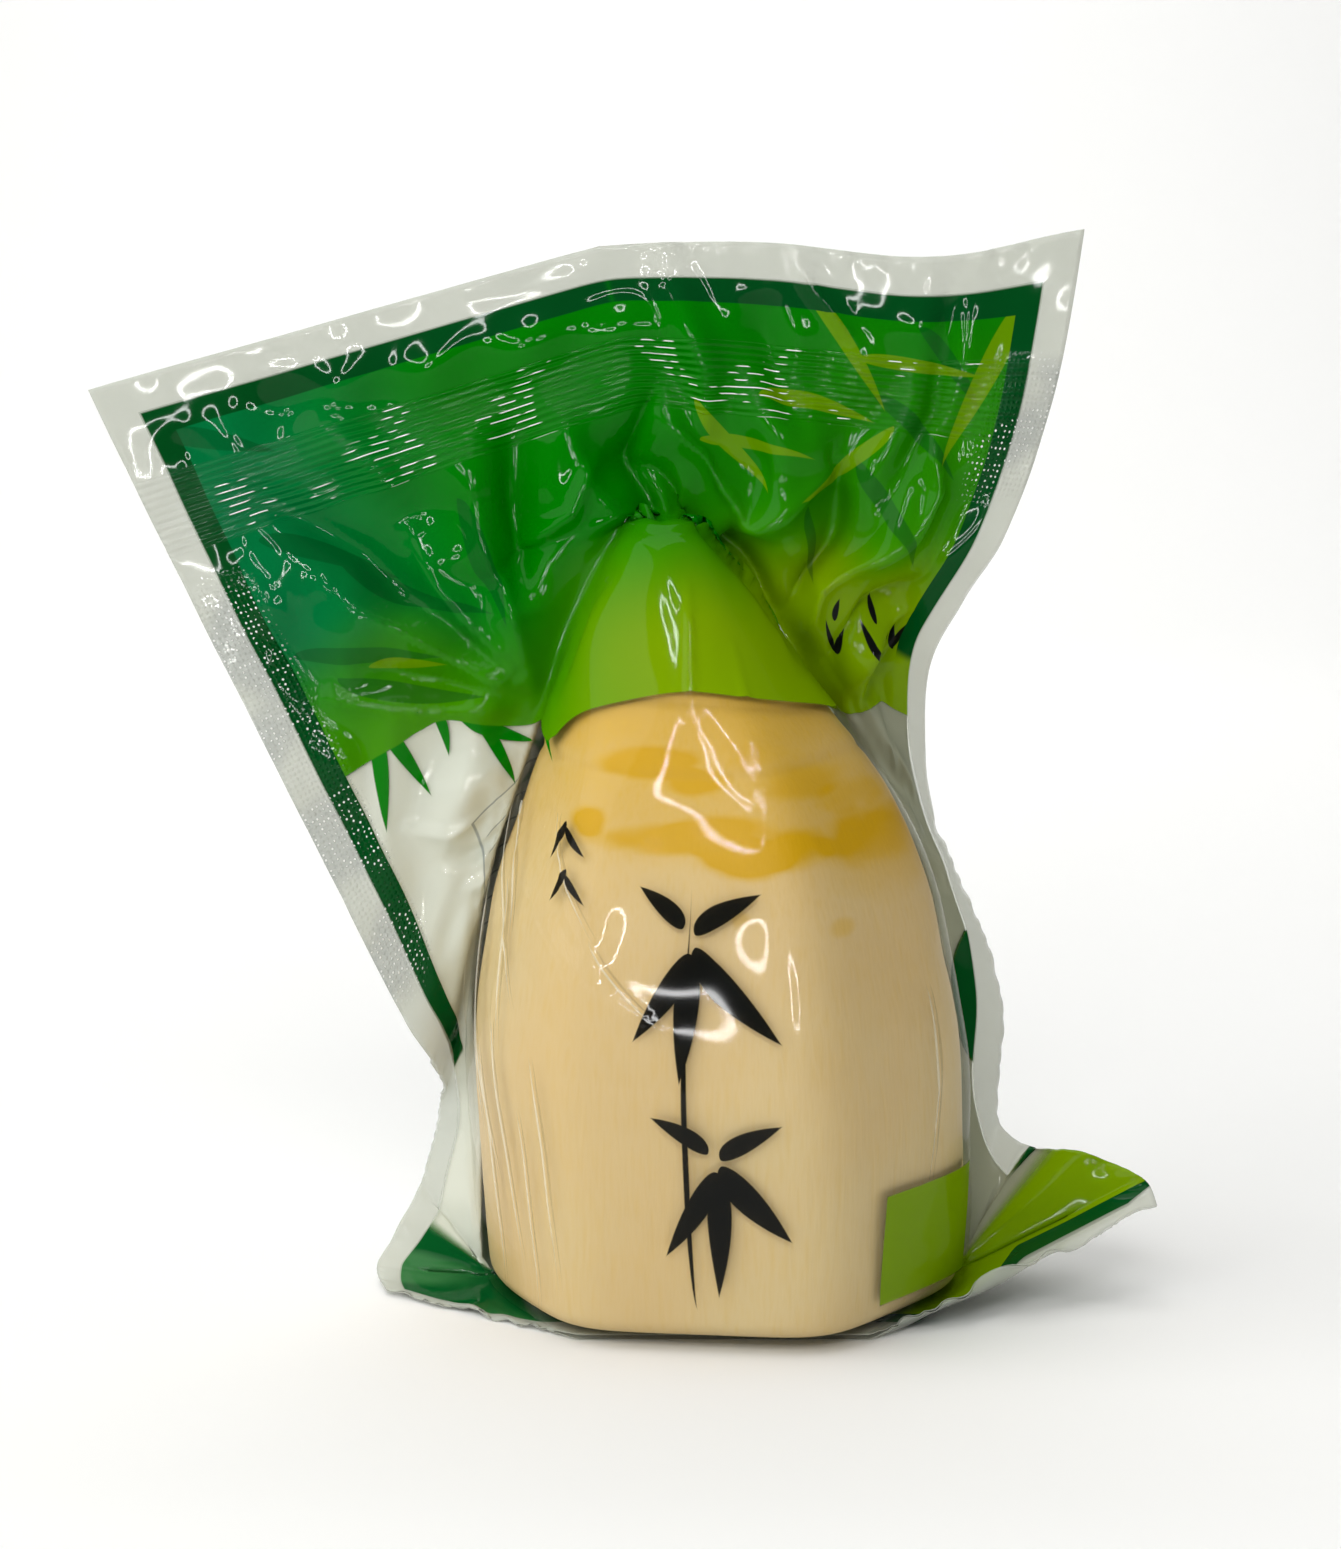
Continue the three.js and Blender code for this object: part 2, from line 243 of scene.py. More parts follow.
class Shader:
    """A material's node tree, empty at first, with an output node."""

    def __init__(self, name: str) -> None:
        """Makes the material and its tree.

        Args:
            name: the material's name.
        """
        self.material = bpy.data.materials.new(name)
        self.material.use_nodes = True
        self.nodes = self.material.node_tree.nodes
        self.links = self.material.node_tree.links
        self.nodes.clear()
        self.output = self.nodes.new("ShaderNodeOutputMaterial")

    def node(self, kind: str, inputs: dict, **settings: object) -> bpy.types.Node:
        """Adds a node.

        Args:
            kind: the node's type, without the ShaderNode in front.
            inputs: values or links, by input name or number.
            settings: properties to set first.

        Returns:
            The node.
        """
        made = self.nodes.new("ShaderNode" + kind)
        for key, value in settings.items():
            setattr(made, key, value)
        for key, value in inputs.items():
            if isinstance(value, Value):
                self.links.new(value.socket, made.inputs[key])
            elif isinstance(value, bpy.types.NodeSocket):
                self.links.new(value, made.inputs[key])
            else:
                made.inputs[key].default_value = value
        return made

    def math(self, operation: str, *values: "Value | float") -> Value:
        """A Math node on up to three values."""
        return Value(self, self.node("Math", dict(enumerate(values)),
                                     operation=operation).outputs[0])

    def flat_place(self, layer: str) -> tuple:
        """The place on the flat web, across and up, in millimetres."""
        parts = self.node("SeparateXYZ", {0: self.node("UVMap", {}, uv_map=layer).outputs[0]})
        return Value(self, parts.outputs[0]), Value(self, parts.outputs[1])

    def body_place(self) -> tuple:
        """The place in the part's own frame.

        Returns:
            Three values in millimetres, and the raw vector in metres.
        """
        place = self.node("TexCoord", {}).outputs["Object"]
        parts = self.node("SeparateXYZ", {0: place})
        return tuple(Value(self, parts.outputs[k]) * (1 / MM) for k in range(3)) + (place,)

    def vector(self, x: "Value | float", y: "Value | float", z: "Value | float" = 0.0) -> Value:
        """A vector from three values."""
        return Value(self, self.node("CombineXYZ", {0: x, 1: y, 2: z}).outputs[0])

    def dot(self, first: Value, second: tuple) -> Value:
        """The dot product of a vector and a constant one."""
        made = self.node("VectorMath", {0: first, 1: second}, operation="DOT_PRODUCT")
        return Value(self, made.outputs["Value"])

    def noise(self, place: "Value | bpy.types.NodeSocket", scale: float, detail: float) -> Value:
        """Noise from 0 to 1 at a place."""
        made = self.node("TexNoise", {"Vector": place, "Scale": scale, "Detail": detail})
        return Value(self, made.outputs[0])

    def blend(self, share: "Value | float", first: "Value | tuple",
              second: "Value | tuple") -> Value:
        """A colour between two colours.

        Args:
            share: how far from the first to the second.
            first: a colour.
            second: another.

        Returns:
            The colour.
        """
        made = self.node("Mix", {0: share, 6: first, 7: second},
                         data_type="RGBA", clamp_factor=True)
        return Value(self, made.outputs[2])

    def bump(self, strength: float, unit: float, height: Value) -> bpy.types.NodeSocket:
        """A normal turned by a height, given in a unit of so many metres."""
        return self.node("Bump", {
            "Strength": strength, "Distance": unit, "Height": height}).outputs[0]

    def see_through(self, colour: tuple) -> bpy.types.NodeSocket:
        """A shader that lets light straight through, tinted."""
        return self.node("BsdfTransparent", {"Color": colour}).outputs[0]

    def mixed(self, share: "Value | float", first: bpy.types.NodeSocket,
              second: bpy.types.NodeSocket) -> bpy.types.NodeSocket:
        """A shader between two shaders."""
        return self.node("MixShader", {0: share, 1: first, 2: second}).outputs[0]

    def finish(self, surface: bpy.types.NodeSocket) -> bpy.types.Material:
        """Links the surface to the output and returns the material."""
        self.links.new(surface, self.output.inputs["Surface"])
        return self.material


def srgb(red: int, green: int, blue: int) -> tuple:
    """A colour given as display values, as the linear colour that shaders take.

    Args:
        red: from 0 to 255.
        green: from 0 to 255.
        blue: from 0 to 255.

    Returns:
        The red, green, blue and alpha, from 0 to 1.
    """
    parts = (np.array([red, green, blue]) / 255.0)
    linear = np.where(parts <= 0.04045, parts / 12.92, ((parts + 0.055) / 1.055) ** 2.4)
    return tuple(float(v) for v in linear) + (1.0,)


# ---- the shoot's form ----

@dataclass(frozen=True)
class ShootForm:
    """The shoot's outside: a leaning profile, front to back a little thinner, with flat knife cuts.

    A section is the soft minimum of its cuts, each a flat side that faces one way at a share of the
    round section's reach. Towards the tip the cuts give way to a round section.
    """

    base: float = 2.4
    tip: float = 136.0
    depth: float = 0.94
    base_round: float = 3.0
    cut_sharpness: float = 14.0
    cut_fade: tuple = (84.0, 124.0)
    profile: tuple = (
        (2.4, 43.2, 1.6), (15, 44.1, 1.5), (30, 44.6, 1.0), (45, 44.5, 0.3), (60, 42.3, -0.2),
        (75, 38.8, -0.4), (90, 32.4, -1.3), (100, 26.6, -3.0), (110, 20.6, -5.0),
        (120, 15.4, -6.3), (128, 10.0, -7.2), (133, 5.6, -7.8), (136, 0, -8),
    )
    cuts: tuple = (
        (-97, 0.955), (-38, 0.95), (5, 0.97), (48, 0.95), (92, 0.96), (137, 0.95), (178, 0.97),
        (-152, 0.955),
    )

    def half_and_lean(self, level: np.ndarray) -> tuple:
        """The half width and the lean to the right at each height. The top is a round dome.

        Args:
            level: heights.

        Returns:
            Two arrays like level.
        """
        level = np.asarray(level, float)
        read = through(list(self.profile), level)
        half, lean = read[..., 0], read[..., 1]
        dome, top = self.profile[-2], self.profile[-1]
        u = np.clip((level - dome[0]) / (self.tip - dome[0]), 0, 1)
        over = level > dome[0]
        half = np.where(over, dome[1] * np.sqrt(1 - u * u), half)
        return half, np.where(over, mix(dome[2], top[2], u), lean)

    def reach(self, angle: np.ndarray, level: np.ndarray) -> np.ndarray:
        """The section's reach in a direction at a height, where 1 is a circle.

        Args:
            angle: directions round the shoot.
            level: heights.

        Returns:
            The reach: the soft minimum of the cuts, which give way to the circle near the tip.
        """
        total = 0.0
        for degrees, share in self.cuts:
            facing = np.maximum(np.cos(angle - math.radians(degrees)), 0) / share
            total = total + facing ** self.cut_sharpness
        return mix(total ** (-1 / self.cut_sharpness), 1.0, smooth(*self.cut_fade, level))

    def radius(self, angle: np.ndarray, level: np.ndarray) -> np.ndarray:
        """The half width of the section in a direction, less the rounding of the base's edge.

        Args:
            angle: directions round the shoot.
            level: heights.

        Returns:
            The half width, in millimetres.
        """
        edge = np.clip(self.base + self.base_round - level, 0, self.base_round)
        rounding = self.base_round - np.sqrt(self.base_round ** 2 - edge ** 2)
        return self.half_and_lean(level)[0] * self.reach(angle, level) - rounding

    def point(self, angle: np.ndarray, level: np.ndarray, spread: np.ndarray) -> np.ndarray:
        """Points of the surface, or of a surface that stands off it by a spread.

        Args:
            angle: directions round the shoot, 0 to the right and a quarter turn at the back.
            level: heights.
            spread: the distance to stand off.

        Returns:
            The points, with a last axis of 3.
        """
        angle, level, spread = np.broadcast_arrays(angle, level, spread)
        half, lean = self.half_and_lean(level)
        reach = self.reach(angle, level)
        loss = half * reach - self.radius(angle, level)
        x = lean + (half * reach - loss + spread) * np.cos(angle)
        y = (half * self.depth * reach - loss + spread) * np.sin(angle)
        return np.stack([x, y, level], -1)


# ---- the pouch's form ----

@dataclass(frozen=True)
class PouchForm:
    """The course of the two webs of film: places on each flat web, and where they lie in the pack.

    A place on a web is its distance across from the middle line and its distance up from the
    bottom edge. From the seam outwards the webs run under the base, up the shoot and over its tip.
    Each row runs from one side edge straight to the fin's root, and then round the shoot.
    """

    shoot: ShootForm
    width: float = 180.0
    height: float = 270.0
    layer_pitch: float = 0.8       # from web to web under the base
    web_pitch: float = 0.34        # from web to web in the fins and the flap
    over_shoot: float = 1.35
    over_tip: float = 1.5
    over_from: tuple = (70, 115)   # the heights where one stand-off gives way to the other
    tip_lift: float = 2.4          # and the film stands higher still at the tip,
    lift_from: float = 118.0       # from here up
    fin_root_gap: float = 1.4
    seam: float = 32.0
    back_level: float = 0.25
    turn_steps: int = 60           # round half the shoot, up its front, and under its base
    rise_steps: int = 160
    under_steps: int = 8
    top_middle: tuple = (-19.5, 0, 183.2)
    flap_closes: float = 0.12      # the share of the flap in which the webs come together
    # The right corner sags: distance across, width, depth, and where up the pouch it begins.
    sag: tuple = (62.0, 24.0, 4.6, 238.0)
    left_edge: tuple = (
        (0, -57.5, -8, 1.1), (32, -60, 1, 2.8), (54, -56.5, 7, 8.5), (74, -52.5, 12, 16),
        (98, -50, 18, 26), (120, -49, 13, 33.5), (135, -50, 4, 39.5), (146, -54, 0, 47),
        (180, -68.5, -2, 77.7), (210, -81.5, -2, 104.8), (240, -94.8, -1, 131.8),
        (270, -107.6, 0, 158.8),
    )
    right_edge: tuple = (
        (0, 78.3, -7, 16.2), (32, 76.5, -1, 19.5), (52, 67, 3, 23), (68, 58, 9, 22.5),
        (84, 53, 17, 25), (102, 53.5, 23, 33), (120, 54.3, 26, 44), (136, 51.5, 27, 56),
        (153, 46.2, 26, 68), (170, 40.5, 24, 82), (185, 38.5, 18, 97), (198, 38.8, 10, 111),
        (210, 43.5, 5, 121.5), (222, 50.5, 2, 133.5), (246, 58.5, 1, 157.5), (270, 63.3, 0, 187.2),
    )
    left_fin_root: tuple = ((0, 0), (32, 0), (76, 0), (96, 14), (120, 12), (145, 0), (270, 0))
    right_fin_root: tuple = (
        (0, 0), (32, 0), (76, 0), (102, 24), (160, 26), (190, 8), (210, 0), (270, 0),
    )
    # Pleats round the neck: distance across, width, depth, and the stretch up the pouch.
    pleats: tuple = (
        (-52, 10, 2.0, 185, 246), (-30, 8, -2.4, 196, 252), (14, 7, 3.2, 200, 248),
        (30, 7, -4.2, 186, 254), (46, 7, 4.4, 176, 246), (62, 7, -4.0, 170, 240),
        (76, 6, 2.2, 176, 226),
    )

    def stand_off(self, level: np.ndarray) -> np.ndarray:
        """How far a web stands off the shoot at a height."""
        return mix(self.over_shoot, self.over_tip, smooth(*self.over_from, level))

    def middle_line(self) -> tuple:
        """The web's line in the middle plane: out under the base, round its edge, up to the tip.

        Returns:
            Arrays of distance up the pouch, height, and share of the base's depth reached.
        """
        shoot = self.shoot
        under_level = self.back_level + 2 * self.layer_pitch
        rise = np.sin(np.linspace(0, 1, self.rise_steps + 1)[1:] * math.pi / 2)
        level = mix(shoot.base, shoot.tip, rise)

        def depth(at: np.ndarray) -> np.ndarray:
            """How far forward the web reaches at a height."""
            return -shoot.point(-math.pi / 2, at, self.stand_off(at))[..., 1]

        under = np.linspace(0, 1, self.under_steps + 1)
        edge = float(depth(np.array([shoot.base]))[0])
        reach = np.concatenate([under * edge, depth(level)])
        heights = np.concatenate([np.full(len(under), under_level), level])
        steps = np.hypot(np.diff(reach), np.diff(heights))
        along = self.seam + np.concatenate([[0], np.cumsum(steps)])
        return along, heights, np.concatenate([under, np.ones(self.rise_steps)])

    def core_rows(self, along: np.ndarray, side: int, hand: int) -> np.ndarray:
        """The part of each row that lies on the shoot or in the middle of the double sheet.

        Args:
            along: distances up the pouch.
            side: -1 for the front web, 1 for the back web.
            hand: -1 for the left half, 1 for the right half.

        Returns:
            Rows by steps by 3, each row from the fin's root to the web's middle line.
        """
        shoot, share = self.shoot, np.linspace(0, 1, self.turn_steps + 1)
        line, heights, unders = self.middle_line()
        level = np.interp(along, line, heights)[:, None]
        under = np.interp(along, line, unders)[:, None]
        away = self.stand_off(level)
        inset = self.fin_root_gap / (shoot.half_and_lean(level)[0] + away)
        keys = self.left_fin_root if hand < 0 else self.right_fin_root
        root = np.radians(through(list(keys), along)) + side * inset
        turn = mix(root, side * math.pi / 2, share)
        over = shoot.point(turn if hand > 0 else math.pi - turn, level, away)
        raised = over[..., 2] + self.tip_lift * smooth(self.lift_from, shoot.tip, level)
        flat = self.back_level + (2 * self.layer_pitch if side < 0 else 0)
        lift = np.where(under < 1, 0, smooth(0, shoot.base_round, level - shoot.base))
        over = np.stack([over[..., 0], over[..., 1] * under, mix(flat, raised, lift)], -1)

        half, lean = (float(v) for v in shoot.half_and_lean(np.array(shoot.base)))
        forward = np.maximum(self.seam - along, 0)[:, None]
        reach = (half - shoot.base_round) * np.sqrt(1 - (forward / (half * shoot.depth)) ** 2)
        fold_level = self.back_level + (self.layer_pitch if side < 0 else 0)
        fold = np.stack(np.broadcast_arrays(
            lean + hand * reach * (1 - share), -forward, fold_level), -1)

        rise = np.clip((along - line[-1]) / (self.height - line[-1]), 0, 1)[:, None, None]
        tip = np.array([shoot.profile[-1][2], 0, shoot.tip + self.tip_lift])
        middle = mix(tip, np.array(self.top_middle), rise)
        middle[..., 1] += side * mix(
            self.over_tip, self.web_pitch / 2, smooth(0, self.flap_closes, rise[..., 0]))
        flap = np.repeat(middle, self.turn_steps + 1, axis=1)
        place = along[:, None, None]
        return np.where(place < self.seam, fold, np.where(place < line[-1], over, flap))

    def edge_line(self, along: np.ndarray, side: int, hand: int, root: np.ndarray) -> np.ndarray:
        """A web's side edge: half a pitch from the middle of the double sheet, to its own side.

        Args:
            along: distances up the pouch.
            side: -1 for the front web, 1 for the back web.
            hand: -1 for the left edge, 1 for the right edge.
            root: the fin's root in each row.

        Returns:
            The edge's point in each row.
        """
        keys = list(self.left_edge if hand < 0 else self.right_edge)
        here = through(keys, along)
        up = through(keys, np.minimum(along + 0.5, self.height))
        up = up - through(keys, np.maximum(along - 0.5, 0))
        across = np.cross(up, here - root)
        across = across / np.linalg.norm(across, axis=-1, keepdims=True)
        return here + across * hand * side * self.web_pitch / 2

    def web(self, across: np.ndarray, along: np.ndarray, side: int) -> tuple:
        """A web's middle surface, drawn tight.

        Each half row runs from the edge to the middle line. The fin takes the same share of both
        webs' columns, so that equal places on the two webs lie together in the fins.

        Args:
            across: distances from the middle line, from -width / 2 to width / 2.
            along: distances up the pouch.
            side: -1 for the front web, 1 for the back web.

        Returns:
            The points, rows by columns by 3, and each place's distance past the fin's root into
            the fin, in millimetres, negative over the shoot.
        """
        half_width = self.width / 2
        points = np.zeros((len(along), len(across), 3))
        finward = np.zeros((len(along), len(across)))
        for hand in (-1, 1):
            chosen = across < 0 if hand < 0 else across >= 0
            inward = 1 - np.abs(across[chosen]) / half_width
            core = self.core_rows(along, side, hand)
            other = self.core_rows(along, -side, hand)
            root = core[:, 0]
            edge = self.edge_line(along, side, hand, root)
            fin = np.linalg.norm(root - edge, axis=-1)
            lengths = [np.linalg.norm(np.diff(c, axis=1), axis=-1) for c in (core, other)]
            mean = sum(v.sum(1) for v in lengths) / 2
            share = (fin / (fin + mean))[:, None]
            in_fin = np.clip(inward / share, 0, 1)
            in_core = np.clip((inward - share) / np.maximum(1 - share, 1e-9), 0, 1)
            run = np.concatenate([np.zeros((len(along), 1)), np.cumsum(lengths[0], 1)], 1)
            run = run / np.maximum(run[:, -1:], 1e-9)
            k = (run[:, None, 1:-1] < in_core[:, :, None]).sum(-1)
            rows = np.arange(len(along))[:, None]
            span = np.maximum(run[rows, k + 1] - run[rows, k], 1e-9)
            u = ((in_core - run[rows, k]) / span)[..., None]
            on_core = mix(core[rows, k], core[rows, k + 1], np.clip(u, 0, 1))
            on_fin = mix(edge[:, None], root[:, None], in_fin[..., None])
            place = np.where((inward < share)[..., None], on_fin, on_core)
            free = smooth(0, 1, 1 - in_fin)
            free = np.where(along[:, None] > self.middle_line()[0][-1], 1.0, free)
            place[..., 1] += self.pleat_depth(across[chosen], along) * free
            points[:, chosen] = place
            finward[:, chosen] = (1 - in_fin) * fin[:, None] - in_core * mean[:, None]
        at, wide, deep, start = self.sag
        bell = np.exp(-((across - at) / wide) ** 2)
        points[..., 2] -= deep * bell * smooth(start, self.height, along)[:, None]
        return points, finward

    def pleat_depth(self, across: np.ndarray, along: np.ndarray) -> np.ndarray:
        """How far the pleats push the double sheet back, each a round-topped ridge or valley.

        Args:
            across: distances from the middle line.
            along: distances up the pouch.

        Returns:
            The depth, rows by columns.
        """
        depth = np.zeros((len(along), len(across)))
        for middle, width, deep, low, high in self.pleats:
            u = np.clip((across - middle) / width, -1, 1)
            v = np.clip((along - low) / (high - low), 0, 1)
            bell = np.cos(u * math.pi / 2) ** 2
            depth += deep * np.outer(np.sin(v * math.pi) ** 1.5, bell)
        return depth


class Section(Enum):
    """The shape of a fold across its line."""

    SHARP = "sharp"
    ROUND = "round"


SHARP, ROUND = Section


@dataclass(frozen=True)
class Crease:
    """A fold pressed into the film, given by places on the flat web.

    A sharp fold's height falls off as exp(-distance / width), a round one's as
    exp(-(distance / width) squared). Both fade out at the ends of the line. A fold with a height
    above 0 stands towards the front.
    """

    line: tuple
    height: float
    width: float
    section: Section

    def relief(self, across: np.ndarray, along: np.ndarray) -> np.ndarray:
        """The fold's height over a grid of places on the flat web.

        Args:
            across: the flat place of each column.
            along: the flat place of each row.

        Returns:
            The height, rows by columns.
        """
        nearest = np.full((len(along), len(across)), 1e6)
        share = np.zeros_like(nearest)
        spans = [math.dist(a, b) for a, b in zip(self.line, self.line[1:])]
        start = 0.0
        for a, b, span in zip(self.line, self.line[1:], spans):
            ux, uy = (b[0] - a[0]) / span, (b[1] - a[1]) / span
            dx, dy = across[None, :] - a[0], along[:, None] - a[1]
            run = np.clip(dx * ux + dy * uy, 0, span)
            off = np.hypot(dx - run * ux, dy - run * uy)
            closer = off < nearest
            share = np.where(closer, (start + run) / sum(spans), share)
            nearest = np.where(closer, off, nearest)
            start += span
        far = nearest / self.width
        fade = np.sin(math.pi * np.clip(share, 0.03, 0.97)) ** 0.6
        return self.height * np.exp(-far if self.section is SHARP else -far * far) * fade


def crease_set(*rows: tuple) -> tuple:
    """Creases from rows of height, width, section and the places of the line."""
    return tuple(Crease(row[3:], *row[:3]) for row in rows)


@dataclass
class TightGrid:
    """The tight form on a grid of places on the two flat webs.

    across and along are the flat places of the columns and the rows. webs holds the points, 2 by
    rows by columns by 3. finward is how far each is into a fin, negative over the shoot. rim is
    each place's distance from the nearest side edge or the top edge, rows by columns.
    """

    form: PouchForm
    step: float
    across: np.ndarray = field(init=False)
    along: np.ndarray = field(init=False)
    webs: np.ndarray = field(init=False)
    finward: np.ndarray = field(init=False)
    rim: np.ndarray = field(init=False)

    def __post_init__(self) -> None:
        """Lays the places out and draws both webs tight."""
        half_width, height = self.form.width / 2, self.form.height
        self.across = np.arange(-half_width, half_width + self.step / 2, self.step)
        self.along = np.arange(0, height + self.step / 2, self.step)
        webs, fins = zip(*(self.form.web(self.across, self.along, side) for side in (-1, 1)))
        self.webs, self.finward = np.stack(webs), np.stack(fins)
        self.rim = np.minimum(half_width - np.abs(self.across)[None, :],
                              (height - self.along)[:, None])

    def rows(self, low: float, high: float, start: float = 0.0) -> np.ndarray:
        """A smooth step up the pouch, in distances past a start, as a column."""
        return smooth(start + low, start + high, self.along)[:, None]

    def sides(self, low: float, high: float) -> np.ndarray:
        """A smooth step in the distance from the middle line, as a row."""
        return smooth(low, high, np.abs(self.across))[None, :]


@dataclass
class FilmDrape:
    """Lets the two webs find their own folds over the shoot.

    Whole-grid, position-based steps: lengths along and across each web and along its diagonals are
    kept, the webs stay together in the fins, neither enters the shoot, and only the slow part of
    the movement away from the tight form is taken back, so that spare width stands in short folds.

    Names that end in _fin, _row, _tip, _seam and _rim hold smooth steps, none at the first number
    and all at the second: past the fin's root, up the pouch, up from the shoot's tip, up from the
    bottom seam, and in from the edge.
    """

    form: PouchForm
    core: ShootForm
    creases: tuple
    clearance: float = 0.42
    seed: int = 11

    corner: float = 3.0            # rounding of the tight form's corners in the fins and the flap
    corner_fin: tuple = (1, 9)
    corner_row: tuple = (150, 170)
    corner_tip: tuple = (1, 9)
    corner_rim: tuple = (0, 6)
    pressed: float = 1.25          # how hard the creases are pressed
    pressed_row: tuple = (78, 92)
    shared_fin: tuple = (0, 5)     # here the back web takes the front web's creases
    shared_tip: tuple = (-3, 3)
    waves: int = 14                # how many slow waves
    wave_pitch: tuple = (14.0, 34.0)
    swell: tuple = (0.05, 0.55)    # their height over the shoot, and where the film is free
    swell_fin: tuple = (2, 12)
    swell_tip: tuple = (0, 10)
    swell_row: tuple = (120, 150)
    swell_top: tuple = (3, 16)     # in from the top edge
    swell_side: tuple = (3, 14)    # in from the side edges
    neck_row: tuple = (148, 172)   # beside the neck the film is drawn back, and bulges further out
    neck_tip: tuple = (8, -8)
    gutter: tuple = (2.4, 3.5, 3.0)    # depth, distance past the fin's root, and width
    gutter_fin: tuple = (0, 2)
    gutter_hands: tuple = (0.3, 2.0)   # its share on the left and on the right
    hands: tuple = (-20, 10)       # from left to right, across
    bulge: tuple = (2.2, 15.0, 7.0)    # height, distance past the fin's root, and width

    spare_free: float = 0.025      # most spare width that folds up in the flap
    spare_neck: float = 0.10       # and round the shoot's upper part
    spare_up: float = 0.03         # most spare length up the pouch there
    spare_low: float = 0.16        # and both ways in the fins beside the base
    spare_core: tuple = (0.012, 0.08)  # and over the shoot, in the front and the back web
    low_row: tuple = (130, 90)
    low_rim: tuple = (6, 18)
    round_row: tuple = (256, 226)
    round_side: tuple = (88, 74)   # out from the middle line
    across_fin: tuple = (-6, 8)
    up_fin: tuple = (-2, 8)

    stiff_core: tuple = (0.5, 0.2)     # how far each step smooths the folds over the shoot
    stiff_free: float = 0.14       # and elsewhere
    stiff_fin: tuple = (-4, 8)
    stiff_edge: float = 0.5        # more of it at the edges
    stiff_rim: tuple = (13, 6)
    stiff_low: float = 0.4         # and beside the base
    stiff_low_row: tuple = (120, 95)
    stiff_low_fin: tuple = (-2, 6)
    stiff_most: float = 0.75

    noise: tuple = ((8.0, 1.0), (3.0, 0.15))  # reach and height of the noise to start from
    noise_fin: tuple = (-4, 10)    # where the front web has it
    low_noise: float = 0.35        # the share of it that is left near the base
    low_noise_row: tuple = (115, 90)
    loose_seam: tuple = (40, 48)   # below this, only the fins move
    loose_fin: tuple = (-2, 6)
    out_seam: float = 42.0         # above this, the film is pushed out of the shoot
    slow_reach: float = 11.0       # movement slower than this is taken back
    slow_share: float = 0.4        # by this share,
    slow_every: int = 4            # once in so many steps
    diagonal_share: float = 0.25   # how firmly the diagonals keep their lengths
    glued_fin: tuple = (1.5, 3.5)  # where the webs lie together
    glued_tip: float = 6.0         # and all of the flap from here up
    open_fin: float = 1.0          # below the seam they only do so further into the fin

    table_step: float = 0.5        # between the levels of the radius table
    levels: np.ndarray = field(init=False)
    radius_table: np.ndarray = field(init=False)
    leans: np.ndarray = field(init=False)
    tip_row: float = field(init=False)

    def __post_init__(self) -> None:
        """Tabulates the shoot's radius by direction and height, and finds the tip's row."""
        shoot = self.core
        self.levels = np.arange(0, shoot.tip + self.table_step / 2, self.table_step)
        angle = np.radians(np.arange(-180, 181))
        self.radius_table = shoot.radius(angle[None, :], self.levels[:, None])
        self.leans = shoot.half_and_lean(self.levels)[1]
        self.tip_row = self.form.middle_line()[0][-1]

    def push_out(self, points: np.ndarray) -> None:
        """Moves points that are inside the shoot's clearance out of it, level by level.

        Args:
            points: the points, changed in place.
        """
        shoot = self.core
        x, y, z = points[..., 0], points[..., 1], points[..., 2]
        row = np.clip(z / self.table_step, 0, len(self.levels) - 1.001)
        lean = np.interp(z, self.levels, self.leans)
        dx, dy = x - lean, y / shoot.depth
        column = np.degrees(np.arctan2(dy, dx)) + 180
        i, j = row.astype(int), np.minimum(column.astype(int), 359)
        u, v = row - i, column - j
        table = self.radius_table
        low, high = (mix(table[k, j], table[k, j + 1], v) for k in (i, i + 1))
        need = mix(low, high, u)
        need = np.where((z > shoot.base + 0.6) & (z < shoot.tip), need + self.clearance, 0)
        grow = np.maximum(need / np.maximum(np.hypot(dx, dy), 1e-6), 1)
        points[..., 0] = lean + dx * grow
        points[..., 1] = y * grow
        points[..., 2] = np.maximum(z, self.form.back_level)

    @staticmethod
    def pull(a: np.ndarray, b: np.ndarray, rest: np.ndarray, share: float) -> None:
        """Moves pairs of points towards their rest length.

        Args:
            a: each pair's first point, changed in place.
            b: each pair's second point, changed in place.
            rest: the rest lengths.
            share: how much of the difference is made up.
        """
        gap = b - a
        length = np.sqrt(np.einsum("...k,...k->...", gap, gap))
        gap *= (0.5 * share * (1 - rest / np.maximum(length, 1e-6)))[..., None]
        a += gap
        b -= gap

    def slow_waves(self, grid: TightGrid) -> np.ndarray:
        """The sum of seeded sine waves in all directions.

        Args:
            grid: the tight form.

        Returns:
            The waves, rows by columns, with a spread of about 1.
        """
        rng = np.random.default_rng(self.seed + 1)
        turn, phase = rng.uniform(0, 2 * math.pi, (2, self.waves, 1, 1))
        pitch = 2 * math.pi / rng.uniform(*self.wave_pitch, (self.waves, 1, 1))
        across, along = grid.across[None, None, :], grid.along[None, :, None]
        run = across * np.cos(turn) + along * np.sin(turn)
        return np.sin(run * pitch + phase).sum(0) / math.sqrt(self.waves / 2)

    def round_corners(self, grid: TightGrid) -> None:
        """Rounds the tight form's corners in the fins and the flap, but not its edges.

        Args:
            grid: the tight form, changed in place.
        """
        rounded = box_blur(grid.webs, int(round(self.corner / grid.step)), (1, 2))
        share = smooth(*self.corner_fin, grid.finward) * grid.rows(*self.corner_row)
        share = np.maximum(share, grid.rows(*self.corner_tip, self.tip_row))
        share *= smooth(*self.corner_rim, self.form.height - grid.along)[:, None]
        share *= smooth(*self.corner_rim, self.form.width / 2 - np.abs(grid.across))
        grid.webs = mix(grid.webs, rounded, share[..., None])

